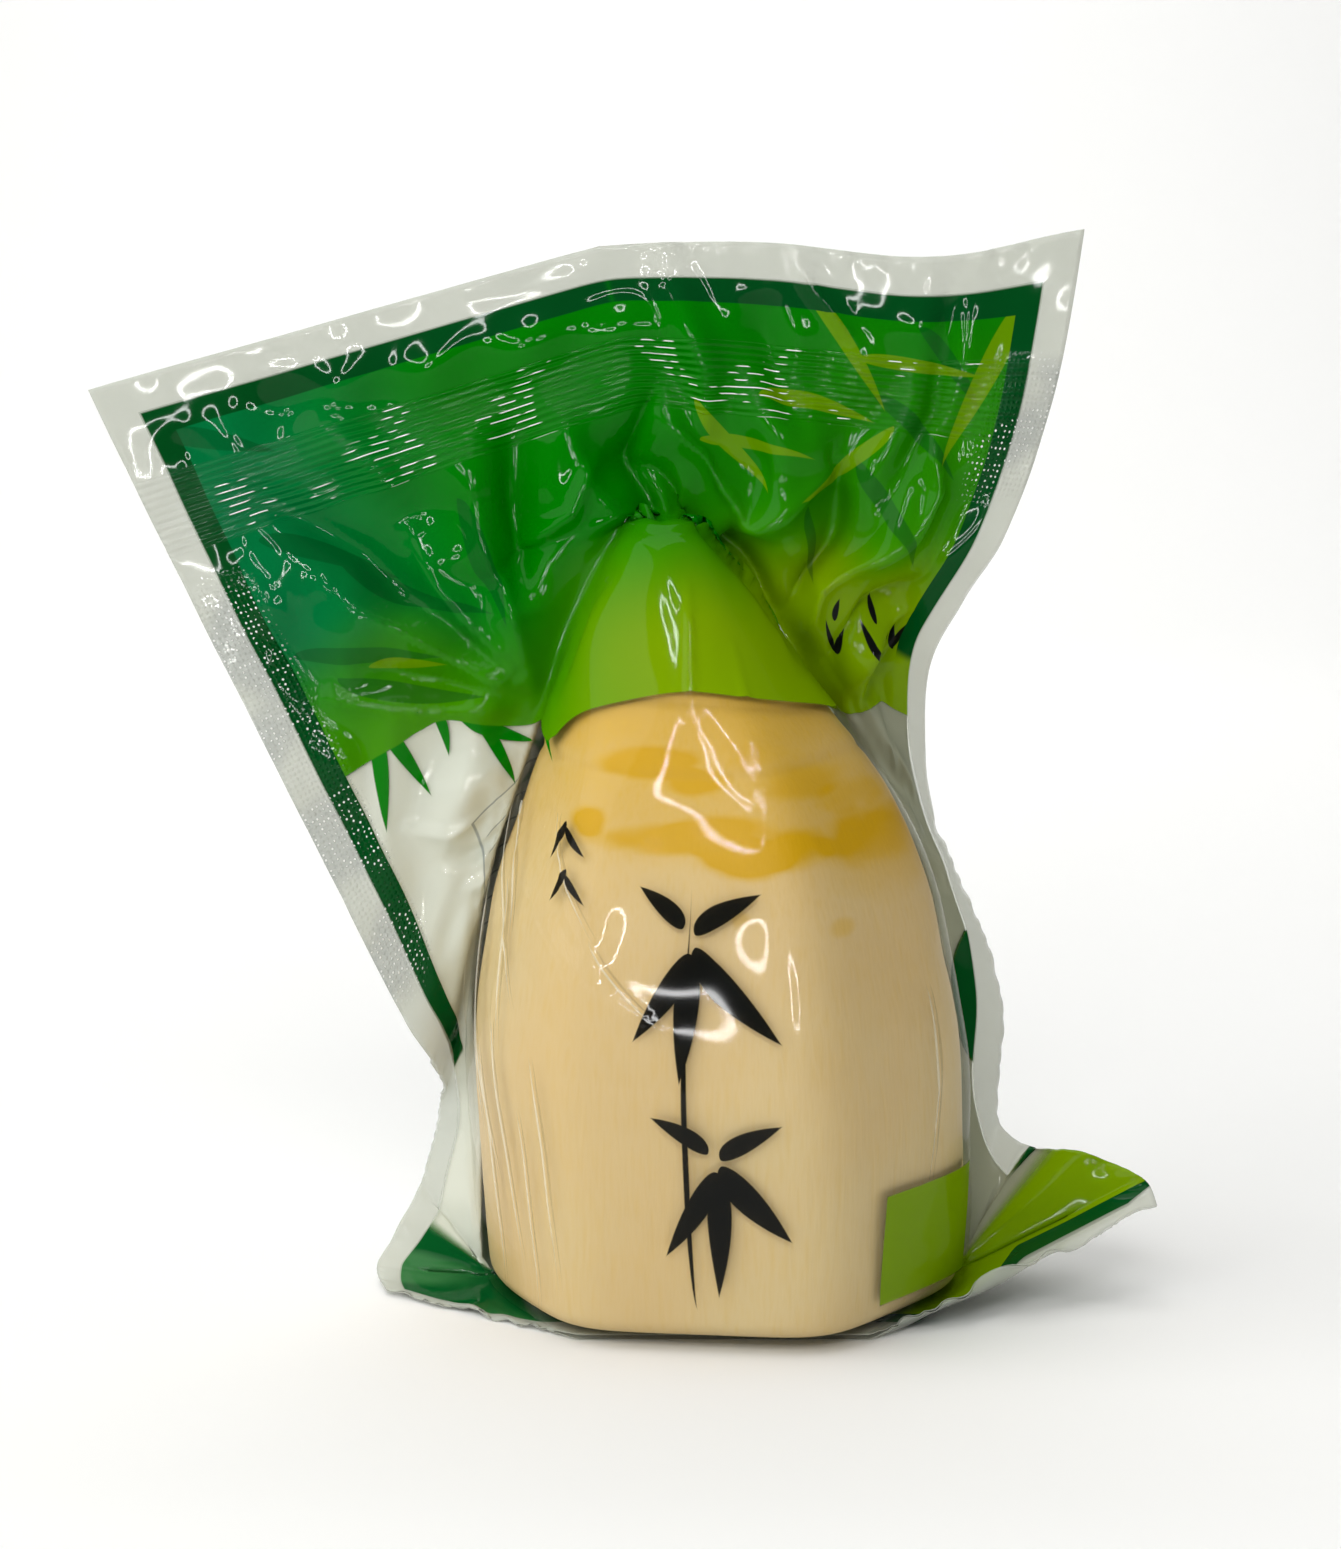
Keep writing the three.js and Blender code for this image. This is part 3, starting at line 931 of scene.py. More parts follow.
    def relief(self, grid: TightGrid) -> np.ndarray:
        """How far the front web stands forward of the tight form, rows by columns.

        The gutter and the bulge beside the neck are bells in the distance past the fin's root.

        Args:
            grid: the tight form.

        Returns:
            The creases, the gutter, the bulge and the slow waves, in millimetres.
        """
        outward = grid.finward[0]
        bells = [high * np.exp(-((outward - at) / wide) ** 2)
                 for high, at, wide in (self.gutter, self.bulge)]
        gutter = -bells[0] * smooth(*self.gutter_fin, outward)
        gutter = gutter * mix(*self.gutter_hands, smooth(*self.hands, grid.across)[None, :])
        neck = grid.rows(*self.neck_row) * grid.rows(*self.neck_tip, self.tip_row)
        creases = sum(crease.relief(grid.across, grid.along) for crease in self.creases)
        swell = np.maximum(smooth(*self.swell_fin, outward),
                           grid.rows(*self.swell_tip, self.tip_row))
        swell *= grid.rows(*self.swell_row)
        swell = swell * smooth(*self.swell_top, self.form.height - grid.along)[:, None]
        swell *= smooth(*self.swell_side, self.form.width / 2 - np.abs(grid.across))[None, :]
        high = mix(*self.swell, swell)
        relief = creases * self.pressed + (gutter + bells[1]) * neck + self.slow_waves(grid) * high
        return relief * grid.rows(*self.pressed_row)

    def guide(self, step: float) -> TightGrid:
        """The tight form with its pressed creases.

        Args:
            step: the grid's pitch.

        Returns:
            The grid with the form on it.
        """
        grid = TightGrid(self.form, step)
        self.round_corners(grid)
        lift = self.relief(grid)[..., None] * grid_normals(grid.webs[0])
        shared = np.maximum(smooth(*self.shared_fin, grid.finward[1]),
                            grid.rows(*self.shared_tip, self.tip_row))
        grid.webs[0] += lift
        grid.webs[1] += lift * shared[..., None]
        return grid

    def starting_noise(self, grid: TightGrid) -> np.ndarray:
        """Seeded noise along the webs' normals, to start the folds from.

        Args:
            grid: the tight form.

        Returns:
            The movement away from the tight form, 2 by rows by columns by 3.
        """
        rng = np.random.default_rng(self.seed)
        noise = sum(ripple(rng, grid.rim.shape, round(reach / grid.step)) * high
                    for reach, high in self.noise)
        noise = noise * mix(1.0, self.low_noise, grid.rows(*self.low_noise_row))
        front = smooth(*self.noise_fin, grid.finward[0])
        noise = noise[None] * np.stack([front, np.ones(front.shape)])
        return noise[..., None] * np.stack([grid_normals(web) for web in grid.webs])

    def spare(self, grid: TightGrid) -> tuple:
        """The most spare width and the most spare length at each place.

        Args:
            grid: the tight form.

        Returns:
            Both, as shares of the width and the length there, 2 by rows by columns.
        """
        core = np.array(self.spare_core)[:, None, None]
        low = grid.rows(*self.low_row) * smooth(*self.low_rim, grid.rim)
        neck = grid.rows(*self.round_row) * grid.sides(*self.round_side)
        free = mix(mix(self.spare_free, self.spare_neck, neck), self.spare_low, low)
        upward = mix(self.spare_up, self.spare_low, low)
        return (mix(core, free, smooth(*self.across_fin, grid.finward)),
                mix(0.0, upward, smooth(*self.up_fin, grid.finward)))

    @staticmethod
    def rest_length(tight: np.ndarray, ends: tuple, flat: float, spare: np.ndarray) -> np.ndarray:
        """The flat length of pairs of points, but the tight length and its spare at most.

        Args:
            tight: the tight form's webs.
            ends: the indices of both ends.
            flat: the length on the flat web.
            spare: the most spare at each place, as a share.

        Returns:
            The length at which each pair is at rest, never less than its tight one.
        """
        a, b = ends
        length = np.linalg.norm(tight[b] - tight[a], axis=-1)
        most = 1 + np.minimum(spare[a], spare[b])
        return length * np.clip(flat / np.maximum(length, 1e-6), 1, most)

    def pairs(self, grid: TightGrid) -> list:
        """The pairs of neighbours whose lengths are kept, in sets that share no point.

        Args:
            grid: the tight form.

        Returns:
            Rows of the indices of both ends, the rest lengths, and how firmly they are kept.
        """
        tight = grid.webs
        across, up = self.spare(grid)
        every, left, right = slice(None), slice(None, -1), slice(1, None)
        sets = []
        for first in (0, 1):
            here, there = slice(first, -1, 2), slice(first + 1, None, 2)
            for a, b, spare in (((every, every, here), (every, every, there), across),
                                ((every, here), (every, there), up)):
                sets.append((a, b, self.rest_length(tight, (a, b), grid.step, spare), 1.0))
        for first in (0, 1):
            top = (tight.shape[1] - 1 - first) // 2 * 2 + first
            here, there = slice(first, top, 2), slice(first + 1, top + 1, 2)
            for one, other in ((left, right), (right, left)):
                a, b = (every, here, one), (every, there, other)
                rest = self.rest_length(tight, (a, b), grid.step * math.sqrt(2), (across + up) / 2)
                sets.append((a, b, rest, self.diagonal_share))
        return sets

    def stiffness(self, grid: TightGrid) -> np.ndarray:
        """How far each step smooths the movement.

        Args:
            grid: the tight form.

        Returns:
            The share at all places but the outermost.
        """
        core = np.array(self.stiff_core)[:, None, None]
        stiff = mix(core, self.stiff_free, smooth(*self.stiff_fin, grid.finward))
        stiff = stiff + self.stiff_edge * smooth(*self.stiff_rim, grid.rim)[None]
        beside = grid.rows(*self.stiff_low_row) * smooth(*self.stiff_low_fin, grid.finward)
        stiff = np.minimum(stiff + self.stiff_low * beside, self.stiff_most)
        return stiff[:, 1:-1, 1:-1, None]

    def together(self, grid: TightGrid) -> np.ndarray:
        """Where the two webs lie together.

        Args:
            grid: the tight form.

        Returns:
            The share by which they do at each place.
        """
        both = smooth(*self.glued_fin, np.minimum(grid.finward[0], grid.finward[1]))[..., None]
        flap = (grid.along > self.tip_row + self.glued_tip)[:, None, None]
        low = (grid.along < self.form.seam)[:, None, None]
        low = low & (grid.finward.min(0) < self.open_fin)[..., None]
        return np.where(low, 0.0, np.where(flap, 1.0, both))

    def settle(self, step: float, rounds: int, moved: np.ndarray = None) -> tuple:
        """Runs the steps on a grid.

        Args:
            step: the grid's pitch on the flat web.
            rounds: how many steps.
            moved: the movement away from the tight form to start with, or None for seeded noise.

        Returns:
            The webs, 2 by rows by columns by 3; the movement away from the tight form; the share
            by which the two webs lie together; and the grid.
        """
        grid = self.guide(step)
        tight, seam = grid.webs, self.form.seam
        loose = np.maximum(grid.rows(*self.loose_seam, seam)[None],
                           smooth(*self.loose_fin, grid.finward))[..., None]
        if moved is None:
            moved = self.starting_noise(grid)
        points = tight + moved * loose
        pairs, glued, stiff = self.pairs(grid), self.together(grid), self.stiffness(grid)
        reach = int(round(self.slow_reach / step))
        first_free = int(np.searchsorted(grid.along, seam + self.out_seam))
        for turn in range(rounds):
            for a, b, rest, share in pairs:
                self.pull(points[a], points[b], rest, share)
            drift = points - tight
            if turn % self.slow_every == 0:
                drift = drift - self.slow_share * box_blur(drift, reach, (1, 2))
            inner = drift[:, 1:-1, 1:-1]
            around = (drift[:, 2:, 1:-1] + drift[:, :-2, 1:-1] + drift[:, 1:-1, 2:]
                      + drift[:, 1:-1, :-2]) / 4
            drift[:, 1:-1, 1:-1] = mix(inner, around, stiff)
            points = tight + drift * loose
            points = mix(points, points.mean(0)[None], glued[None])
            self.push_out(points[:, first_free:])
        return points, points - tight, glued[..., 0], grid


def doubled(grid: np.ndarray) -> np.ndarray:
    """A grid with a point added between each two, over axes 1 and 2.

    Args:
        grid: webs by rows by columns by anything.

    Returns:
        The finer grid.
    """
    for axis in (1, 2):
        grid = np.moveaxis(grid, axis, 0)
        fine = np.empty((2 * len(grid) - 1,) + grid.shape[1:])
        fine[::2] = grid
        fine[1::2] = (grid[1:] + grid[:-1]) / 2
        padded = np.concatenate([grid[:1], grid, grid[-1:]])
        outer = (padded[3:] + padded[:-3]) / 2
        fine[1::2] += (fine[1::2] - outer) / 8
        grid = np.moveaxis(fine, 0, axis)
    return grid


# ---- finishes ----

PRINT_LAYER = "print_mm"           # the film's places on its flat web, in millimetres


@dataclass(frozen=True)
class FleshFinish:
    """Boiled bamboo flesh: cream, with yellow bands at its nodes and fine upright fibres."""

    cream: tuple = srgb(219, 190, 136)
    pale: tuple = srgb(221, 198, 148)
    yellow: tuple = srgb(212, 166, 24)
    strong: tuple = srgb(210, 162, 0)
    # Yellow patches: place across and up, width, height and strength.
    patches: tuple = (
        (-10, 97.5, 9, 2.8, 1.0), (-3, 94.5, 6, 2.4, 0.85), (-21, 88, 3.6, 2.4, 1.0),
        (-8, 85.5, 14, 2.6, 0.75), (1, 87, 9, 2.6, 0.7), (5, 82.5, 8, 3.4, 1.3),
        (12, 84, 7, 3.6, 0.8), (14, 94, 8, 2.8, 0.5), (27, 84, 10, 5, 0.5),
        (24, 91, 7, 2.6, 0.4), (4, 73, 1.9, 1.6, 0.5), (21, 71, 2.4, 1.8, 0.45),
        (-2, 104, 30, 7, 0.55), (4, 90, 34, 9, 0.35), (30, 82, 12, 8, 0.35),
    )
    ragged: float = 1.4            # how far noise breaks up a patch's edge
    fibres: float = 0.7            # how yellow the fibres are
    ripening: float = 0.5          # how much yellower the flesh is near its tip
    ripe: tuple = (68, 98)         # from this height to that
    bands: tuple = (62, 84)        # the back's yellow bands begin at this height
    front: tuple = (4, -6)         # the patches fade out from here to there, front to back
    fibre_noise: tuple = (900.0, 0.12)  # scale per metre, and how much of it upward
    cloud_noise: tuple = (70.0, 2.2)
    broad_scale: float = 22.0
    relief: tuple = (0.35, 0.0004)  # the bump's strength, and its unit in metres
    roughness: float = 0.5
    shine: float = 0.2

    def material(self) -> bpy.types.Material:
        """Builds the finish. A patch is a bell in across and up, its edge broken by noise.

        Returns:
            The material.
        """
        shader = Shader("flesh")
        x, y, z, place = shader.body_place()

        def stretched(scale: float, upward: float, detail: float) -> Value:
            """Noise with its scale upward taken so many times."""
            mapped = shader.node("Mapping", {"Vector": place, "Scale": (1, 1, upward)})
            return shader.noise(mapped.outputs[0], scale, detail)

        fibre = stretched(*self.fibre_noise, 3)
        cloud = stretched(*self.cloud_noise, 2)
        broad = shader.noise(place, self.broad_scale, 2)
        front = y.step(*self.front)
        strength = 0.0
        for px, pz, width, height, deep in self.patches:
            far = ((x - px) / width) ** 2 + ((z - pz) / height) ** 2
            bell = (far + (cloud - 0.5) * self.ragged).step(1.4, 0.1)
            strength = bell * deep + strength
        ring = shader.noise(shader.vector(x * 0.02, y * 0.02, z * 0.16), 1.0, 2)
        bands = ring.step(0.56, 0.72) * cloud.step(0.42, 0.62) * z.step(*self.bands) * 0.5
        share = (front * strength).most(bands * (1 - front))
        ground = shader.blend(broad.step(0.35, 0.7), self.cream, self.pale)
        warmth = (fibre - 0.5).size() * self.fibres + z.step(*self.ripe) * self.ripening
        ground = shader.blend(warmth, ground, self.yellow)
        colour = shader.blend(share.least(1.0), ground,
                              shader.blend(share.step(0.5, 0.9), self.yellow, self.strong))
        bump = shader.bump(*self.relief, fibre * 0.6 + cloud * 0.6)
        body = shader.node("BsdfPrincipled", {
            "Base Color": colour, "Roughness": self.roughness, "Specular IOR Level": self.shine,
            "Normal": bump})
        return shader.finish(body.outputs[0])


LEAF_PEAK = 0.385                  # the most that (1 - u) * sqrt(u) reaches


@dataclass(frozen=True)
class Leaf:
    """A printed leaf: from its stalk end to its point, with a half width and a sideways bend."""

    start: tuple
    end: tuple
    half_width: float
    bend: float

    def mask(self, shader: Shader, place: Value) -> Value:
        """1 inside the leaf, 0 outside.

        The half width is proportional to (1 - u) * sqrt(u), with u the share of the way along.

        Args:
            shader: the tree to add to.
            place: the flat place as a vector (across, up, 1).

        Returns:
            The mask.
        """
        dx, dy = self.end[0] - self.start[0], self.end[1] - self.start[1]
        long = math.hypot(dx, dy)
        along = (dx / long ** 2, dy / long ** 2)
        aside = (-dy / long, dx / long)
        u = shader.dot(place, along + (-(self.start[0] * along[0] + self.start[1] * along[1]),))
        v = shader.dot(place, aside + (-(self.start[0] * aside[0] + self.start[1] * aside[1]),))
        shape = (1 - u) * u.root()
        off = shader.math("MULTIPLY_ADD", shape, -self.bend / LEAF_PEAK, v).size()
        inside = shader.math("MULTIPLY_ADD", shape, self.half_width / LEAF_PEAK, off * -1)
        return inside.step(0, 0.25)


def leaf_set(*rows: tuple) -> tuple:
    """Leaves from rows of stalk end (across, up), point (across, up), half width and bend."""
    return tuple(Leaf(row[:2], row[2:4], *row[4:]) for row in rows)


class Side(Enum):
    """Which web of the pouch."""

    FRONT = -1
    BACK = 1


class Zone(Enum):
    """A part of a web with a finish of its own. Each holds only the leaves that lie in it."""

    LEFT = "printed_film_left"
    RIGHT = "printed_film_right"
    MIDDLE = "clear_film_middle"
    FLANK = "clear_film_flank"
    BACK = "white_film"
    INSIDE = "film_inside"


@dataclass(frozen=True)
class PrintPlace:
    """Where a finish is laid out: its tree, its zone and the place on the flat web.

    s is the distance across, t the distance up, and rim the distance from the nearest edge.
    """

    shader: Shader
    zone: Zone
    s: Value
    t: Value
    rim: "Value | None" = None

    def noise(self, scale: float, wide: float = 1.0) -> Value:
        """Noise on the flat web, with its scale across taken so many times."""
        across = self.s if wide == 1.0 else self.s * wide
        return self.shader.noise(self.shader.vector(across, self.t), scale, 0)


@dataclass(frozen=True)
class FilmFinish:
    """Printed clear film. Its print is laid out in millimetres on the flat web."""

    window: tuple = (73.0, 68.0, 159.0)  # the window's half width, and where it begins and ends
    middle: tuple = (-33.0, 27.0)  # the window's middle zone, across
    label: tuple = (42.0, 85.0, 13.6, 9.6)  # the label's middle, half width and half height
    soft: float = 0.4              # how soft the label's edge is,
    crisp: float = 0.2             # and the print's edges
    edge: tuple = (90, 270)        # the side edges, out from the middle line, and the top edge
    margin: float = 6.4            # bare heat seal round the edge
    ear: float = 14.0              # so much narrower in the right ear,
    ear_across: tuple = (40, 60)   # from here out,
    ear_up: tuple = ((14, 34), (72, 64))  # above the first and below the second
    low_rise: tuple = (46, 62)     # out here the bottom seal is wider:
    low_share: float = 0.62        # distances up the pouch count so much less
    band: float = 4.4              # the dark border inside it
    left_band: tuple = (113, 115)  # it is there on the left above this,
    right_band: tuple = ((196, 198), (70, 68))  # on the right above the first, below the second
    sliver: tuple = (121, 16, 6.0)  # a slip of it between them: its middle, half height and width
    low_print: tuple = (66, 58)    # the front's ink below the window
    head: tuple = (192.0, 192.4)   # the back's green head
    panel: tuple = (46.0, 120.0, 15.0, 44.0)  # the ruled panels' middles, half width and height
    panel_pitch: float = 5.0       # between its lines
    ribs: tuple = (245.0, 7.0, 1.35)    # the ribs' middle, half height and pitch
    rib_side: tuple = (78, 76)     # their painted glints end here, out from the middle
    dots: float = 2.0              # the pitch of the seals' dots
    # The knurled part of each side seal: from where out, its middle and half height, softly.
    left_knurl: tuple = ((-77, -80), 190.0, (44, 36))
    right_knurl: tuple = ((75, 78), 240.0, (14, 9))
    relief: tuple = (0.9, 1.6, 0.00012)  # height of the ribs and of the dots, and its unit
    cloud_scale: float = 0.03      # noise scales, per millimetre
    patch_scale: float = 0.08
    tick_scale: float = 0.8
    tick_width: float = 0.35       # how much of it across
    speck_scale: float = 0.9
    light_cover: float = 0.42      # how far a painted fold's highlight line covers what is under it
    light_tone: float = 2.4        # and how soon it turns from tan to pale
    shade_cover: float = 0.30      # how far its painted shade line covers
    painted_fold_width: float = 1.0        # from one line to the other
    sprig_cover: float = 0.98
    label_cover: float = 0.96
    ink_cover: float = 0.996       # the green print's
    seal_cover: float = 0.55       # the haze of the heat seal's
    # how far the painted glints cover the film
    painted_glint_cover: float = 0.8
    mirror: tuple = (0.008, 0.3)   # what the gloss reflects seen straight, and more at the edge
    gloss_roughness: float = 0.05
    ink_roughness: float = 0.6
    clear: tuple = (0.985, 0.985, 0.97, 1)  # what the bare film lets through,
    within: tuple = (0.99, 0.99, 0.985, 1)  # and the film's inner face
    teal: tuple = srgb(0, 112, 58)
    green: tuple = srgb(0, 120, 0)
    mid: tuple = srgb(58, 138, 0)
    lime: tuple = srgb(122, 158, 0)
    border: tuple = srgb(0, 74, 26)
    muted: tuple = srgb(52, 116, 62)
    deep: tuple = srgb(4, 84, 34)
    shaded: tuple = srgb(160, 163, 142)
    white: tuple = srgb(222, 225, 214)
    haze: tuple = srgb(205, 209, 196)
    black: tuple = srgb(14, 16, 15)
    grey: tuple = srgb(150, 158, 156)
    # The painted fold lines' colours: painted highlight, then painted shade.
    pale: tuple = srgb(246, 240, 220)
    tan: tuple = srgb(138, 116, 72)
    # the white of the painted glints
    painted_glint: tuple = srgb(255, 255, 252)
    lime_leaves: tuple = leaf_set(
        (38, 262, 55, 241, 1.7, 1.0), (27, 242, 53, 239, 1.8, 1.4), (13, 241, 28, 223, 1.9, -1.2),
        (12, 232, 39, 231, 1.4, 1.0), (57, 239, 34, 222, 1.7, 1.0), (48, 251, 75, 249, 1.5, 0.8),
        (82, 262, 69, 232, 2.6, -1.4), (-66, 206, -52, 199, 1.2, 0.8),
    )
    dark_leaves: tuple = leaf_set(
        (52, 244, 74, 230, 1.8, 1.2), (50, 232, 72, 214, 1.9, -0.8), (60, 258, 76, 242, 1.6, 0.8),
        (38, 222, 50, 204, 1.6, -0.8), (-83, 259, -64, 250, 2.0, 0.8),
        (-74, 236, -52, 221, 2.1, 0.8), (-62, 230, -40, 204, 2.4, -1.2),
        (-37, 232, -39, 200, 2.2, 1.0), (-78, 214, -52, 201, 1.9, 1.0),
        (-72, 207, -48, 188, 2.1, -1.0),
    )
    low_leaves: tuple = leaf_set(
        (-70, 198, -77, 176, 1.8, 0.9), (-68, 198, -66, 176, 1.5, -0.5),
        (-58, 194, -60, 181, 1.3, 0.5), (-54, 190, -44, 170, 1.7, -0.8),
        (-52, 188, -51, 163, 1.3, 0.6), (-40, 180, -31, 167, 1.3, -0.5),
    )
    ink_leaves: tuple = leaf_set(
        (-4, 137, -13, 122, 2.0, 0.6), (-4, 137, -6, 115, 2.1, 0.4), (-3, 138, 9, 122, 2.3, -0.8),
        (-3, 140, 7, 147, 1.8, 0.7), (-5, 141, -12, 148, 1.7, -0.6), (-1, 101, -10, 86, 2.0, 0.6),
        (-1, 101, -1, 79, 2.1, 0.4), (0, 102, 11, 89, 2.3, -0.8), (0, 103, 9, 109, 1.7, 0.6),
        (-2, 104, -11, 110, 1.6, -0.6), (-4.5, 77, -3.2, 150, 0.6, 1.6),
        (-26, 158, -30, 151, 0.9, 0.3), (-26, 157, -21, 152, 0.9, -0.3),
        (-25, 150, -29, 144, 0.8, 0.3), (-25, 149, -21, 144, 0.8, -0.3),
    )
    row_leaves: tuple = leaf_set(
        (58, 192, 55, 199, 1.1, 0.3), (58, 192, 61, 198, 1.1, -0.3), (58, 199, 58, 204, 0.9, 0.2),
        (68, 195, 65, 201, 1.1, 0.3), (68, 195, 72, 201, 1.1, -0.3), (69, 201, 68, 206, 0.9, 0.2),
        (78, 197, 75, 203, 1.1, 0.3), (77, 197, 80, 204, 1.0, -0.3),
    )
    # Folds of doubled film over the window, painted as a highlight line and, beside it, a shade
    # line.
    painted_fold_lines: tuple = leaf_set(
        (-28, 160, -18, 136, 0.34, -2.2), (-20, 139, -6, 122, 0.30, -1.4),
        (-32, 118, -30, 76, 0.4, 0.8), (-49, 158, -36, 122, 0.5, -2.4),
        (-58, 150, -52, 96, 0.7, 1.6), (-44, 122, -40, 78, 0.6, -1.0),
        (-51, 116, -49, 72, 0.6, 0.8), (-37, 108, -36, 70, 0.4, 0.5), (36, 128, 40, 88, 0.4, 1.2),
        (58, 150, 64, 96, 0.6, 1.6), (48, 158, 56, 120, 0.5, -1.4),
        (-47, 168, -41, 134, 0.6, 1.6), (-53, 128, -46, 92, 0.7, -1.6),
        (-45, 146, -43, 116, 0.5, 1.2), (50, 140, 52, 100, 0.5, 1.0),
        (44, 166, 50, 138, 0.5, -1.2),
    )

    def print_edge(self, s: Value) -> Value:
        """How far up the front web its print begins: a line that rises at both sides.

        A bell dips left of the middle, a broad one swells in the middle, and one dips on the right.

        Args:
            s: distance across.

        Returns:
            The distance up.
        """
        def bell(middle: float, width: float) -> Value:
            """1 at the middle and half of that a width away."""
            return 1 / (1 + ((s - middle) / width) ** 2)

        edge = 178.0 + s.step(-42, -60) * 12.0 + s.step(58, 76) * 8.5
        return edge - bell(-34, 8) * 8.0 + bell(0, 18) * 4.2 - bell(40, 8) * 2.0

    def leaves(self, at: PrintPlace, leaves: tuple, shift: float = 0.0) -> "Value | float":
        """The union of those leaves that lie in the zone.

        Args:
            at: the place.
            leaves: the leaves.
            shift: how far to the right to draw them.

        Returns:
            1 inside a leaf, 0 outside.
        """
        inner = self.middle
        holds = {
            Zone.LEFT: lambda across: across < 0, Zone.RIGHT: lambda across: across >= 0,
            Zone.MIDDLE: lambda across: inner[0] < across < inner[1],
            Zone.FLANK: lambda across: not inner[0] < across < inner[1],
        }[at.zone]
        place = at.shader.vector(at.s - shift if shift else at.s, at.t, 1.0)
        total = 0.0
        for leaf in leaves:
            if holds(leaf.start[0]):
                total = leaf.mask(at.shader, place).most(total)
        return total

    def window_print(self, at: PrintPlace) -> tuple:
        """Painted fold lines of highlight and shade, the black sprig and the plain label on the
        window.

        Args:
            at: the place.

        Returns:
            The coverage and colour of the ink and of the painted fold lines.
        """
        blend = at.shader.blend
        # Each fold is a painted highlight line with a painted shade line beside it.
        light = self.leaves(at, self.painted_fold_lines) * self.light_cover
        shade = self.leaves(at, self.painted_fold_lines, self.painted_fold_width) * self.shade_cover
        fold = light.most(shade)
        tone = blend(light * self.light_tone, self.tan, self.pale)
        if at.zone is Zone.MIDDLE:
            ink = self.leaves(at, self.ink_leaves)
            return fold.most(ink * self.sprig_cover), blend(ink, tone, self.black)
        at_s, at_t, wide, high = self.label
        label = (at.s - at_s).size().step(wide, wide - self.soft)
        label = label * (at.t - at_t).size().step(high, high - self.soft)
        return fold.most(label * self.label_cover), blend(label, tone, self.lime)

    def inside(self, at: PrintPlace) -> Value:
        """1 inside the bare margin, 0 in it."""
        return at.rim.step(self.margin - self.crisp, self.margin)

    def printed_band(self, at: PrintPlace) -> Value:
        """The dark border inside the seal. It is left out where the side fins turn back.

        Args:
            at: the place.

        Returns:
            1 on the border, 0 off it.
        """
        s, t, rim = at.s, at.t, at.rim
        above, below = self.right_band
        on_left = t.step(*self.left_band) * s.step(1, -1)
        on_right = t.step(*above).most(t.step(*below)) * s.step(-1, 1)
        middle, half, wide = self.sliver
        sliver = (1 - ((t - middle) / half) ** 2) * wide + self.margin - rim
        band = rim.step(self.margin + self.band + self.crisp, self.margin + self.band)
        shown = (band * on_left.most(on_right)).most(sliver.step(0, 0.3) * s.step(-1, 1))
        return shown * self.inside(at)

    def front_print(self, at: PrintPlace) -> tuple:
        """The front web's green print, its leaves and its border.

        Args:
            at: the place.

        Returns:
            The ink's coverage and its colour.
        """
        s, t, blend = at.s, at.t, at.shader.blend
        cloud = at.noise(self.cloud_scale) - 0.5
        above = t - self.print_edge(s)
        upper = above.step(-self.crisp, self.crisp)
        rise = above + cloud * 26
        warm = rise.step(46, 0) * (0.45 + s.step(-56, 40) * 0.55)
        warm = warm + s.step(-52, 70) * rise.step(110, 20) * 0.35
        colour = blend(s.step(-30, -78) * rise.step(4, 34), self.green, self.teal)
        colour = blend(warm.step(0.05, 0.5), colour, self.mid)
        colour = blend(warm.step(0.35, 0.95), colour, self.lime)
        colour = blend(self.leaves(at, self.dark_leaves) * upper * 0.5, colour, self.border)
        colour = blend(self.leaves(at, self.lime_leaves) * upper * 0.62, colour, self.lime)
        colour = blend(self.leaves(at, self.row_leaves), colour, self.black)
        hanging = upper.most(self.leaves(at, self.low_leaves))
        colour = blend(hanging - upper, colour, self.green)
        low = t.step(*self.low_print)
        low_colour = blend(cloud.step(-0.12, 0.12), self.muted, self.deep)
        low_colour = blend(s.step(-30, 30), low_colour, self.lime)
        colour = blend(low, colour, low_colour)
        band = self.printed_band(at)
        colour = blend(band, colour, self.border)
        cover = hanging.most(low).most(band) * self.inside(at)
        return cover * self.ink_cover, colour

    def back_print(self, at: PrintPlace) -> tuple:
        """The back web's print: white, with a dark border, a green head and ruled panels.

        Args:
            at: the place.

        Returns:
            The ink's coverage and its colour.
        """
        s, t, blend = at.s, at.t, at.shader.blend
        # The white ink is dimmed to painted shade towards the right.
        white = blend(s.step(34, 62), self.white, self.shaded)
        green = blend(s.step(15, 80), self.green, self.lime)
        colour = blend(t.step(*self.head), white, green)
        colour = blend(self.printed_band(at), colour, self.border)
        at_s, at_t, wide, high = self.panel
        out = ((s.size() - at_s).size() - wide).most((t - at_t).size() - high)
        line = out.size().step(0.35, 0.2)
        ruled = ((t * (1 / self.panel_pitch)).fraction() - 0.5).size().step(0.06, 0.03)
        ruled = ruled * out.step(-1.5, -2)
        return self.inside(at), blend(line.most(ruled) * 0.8, colour, self.grey)

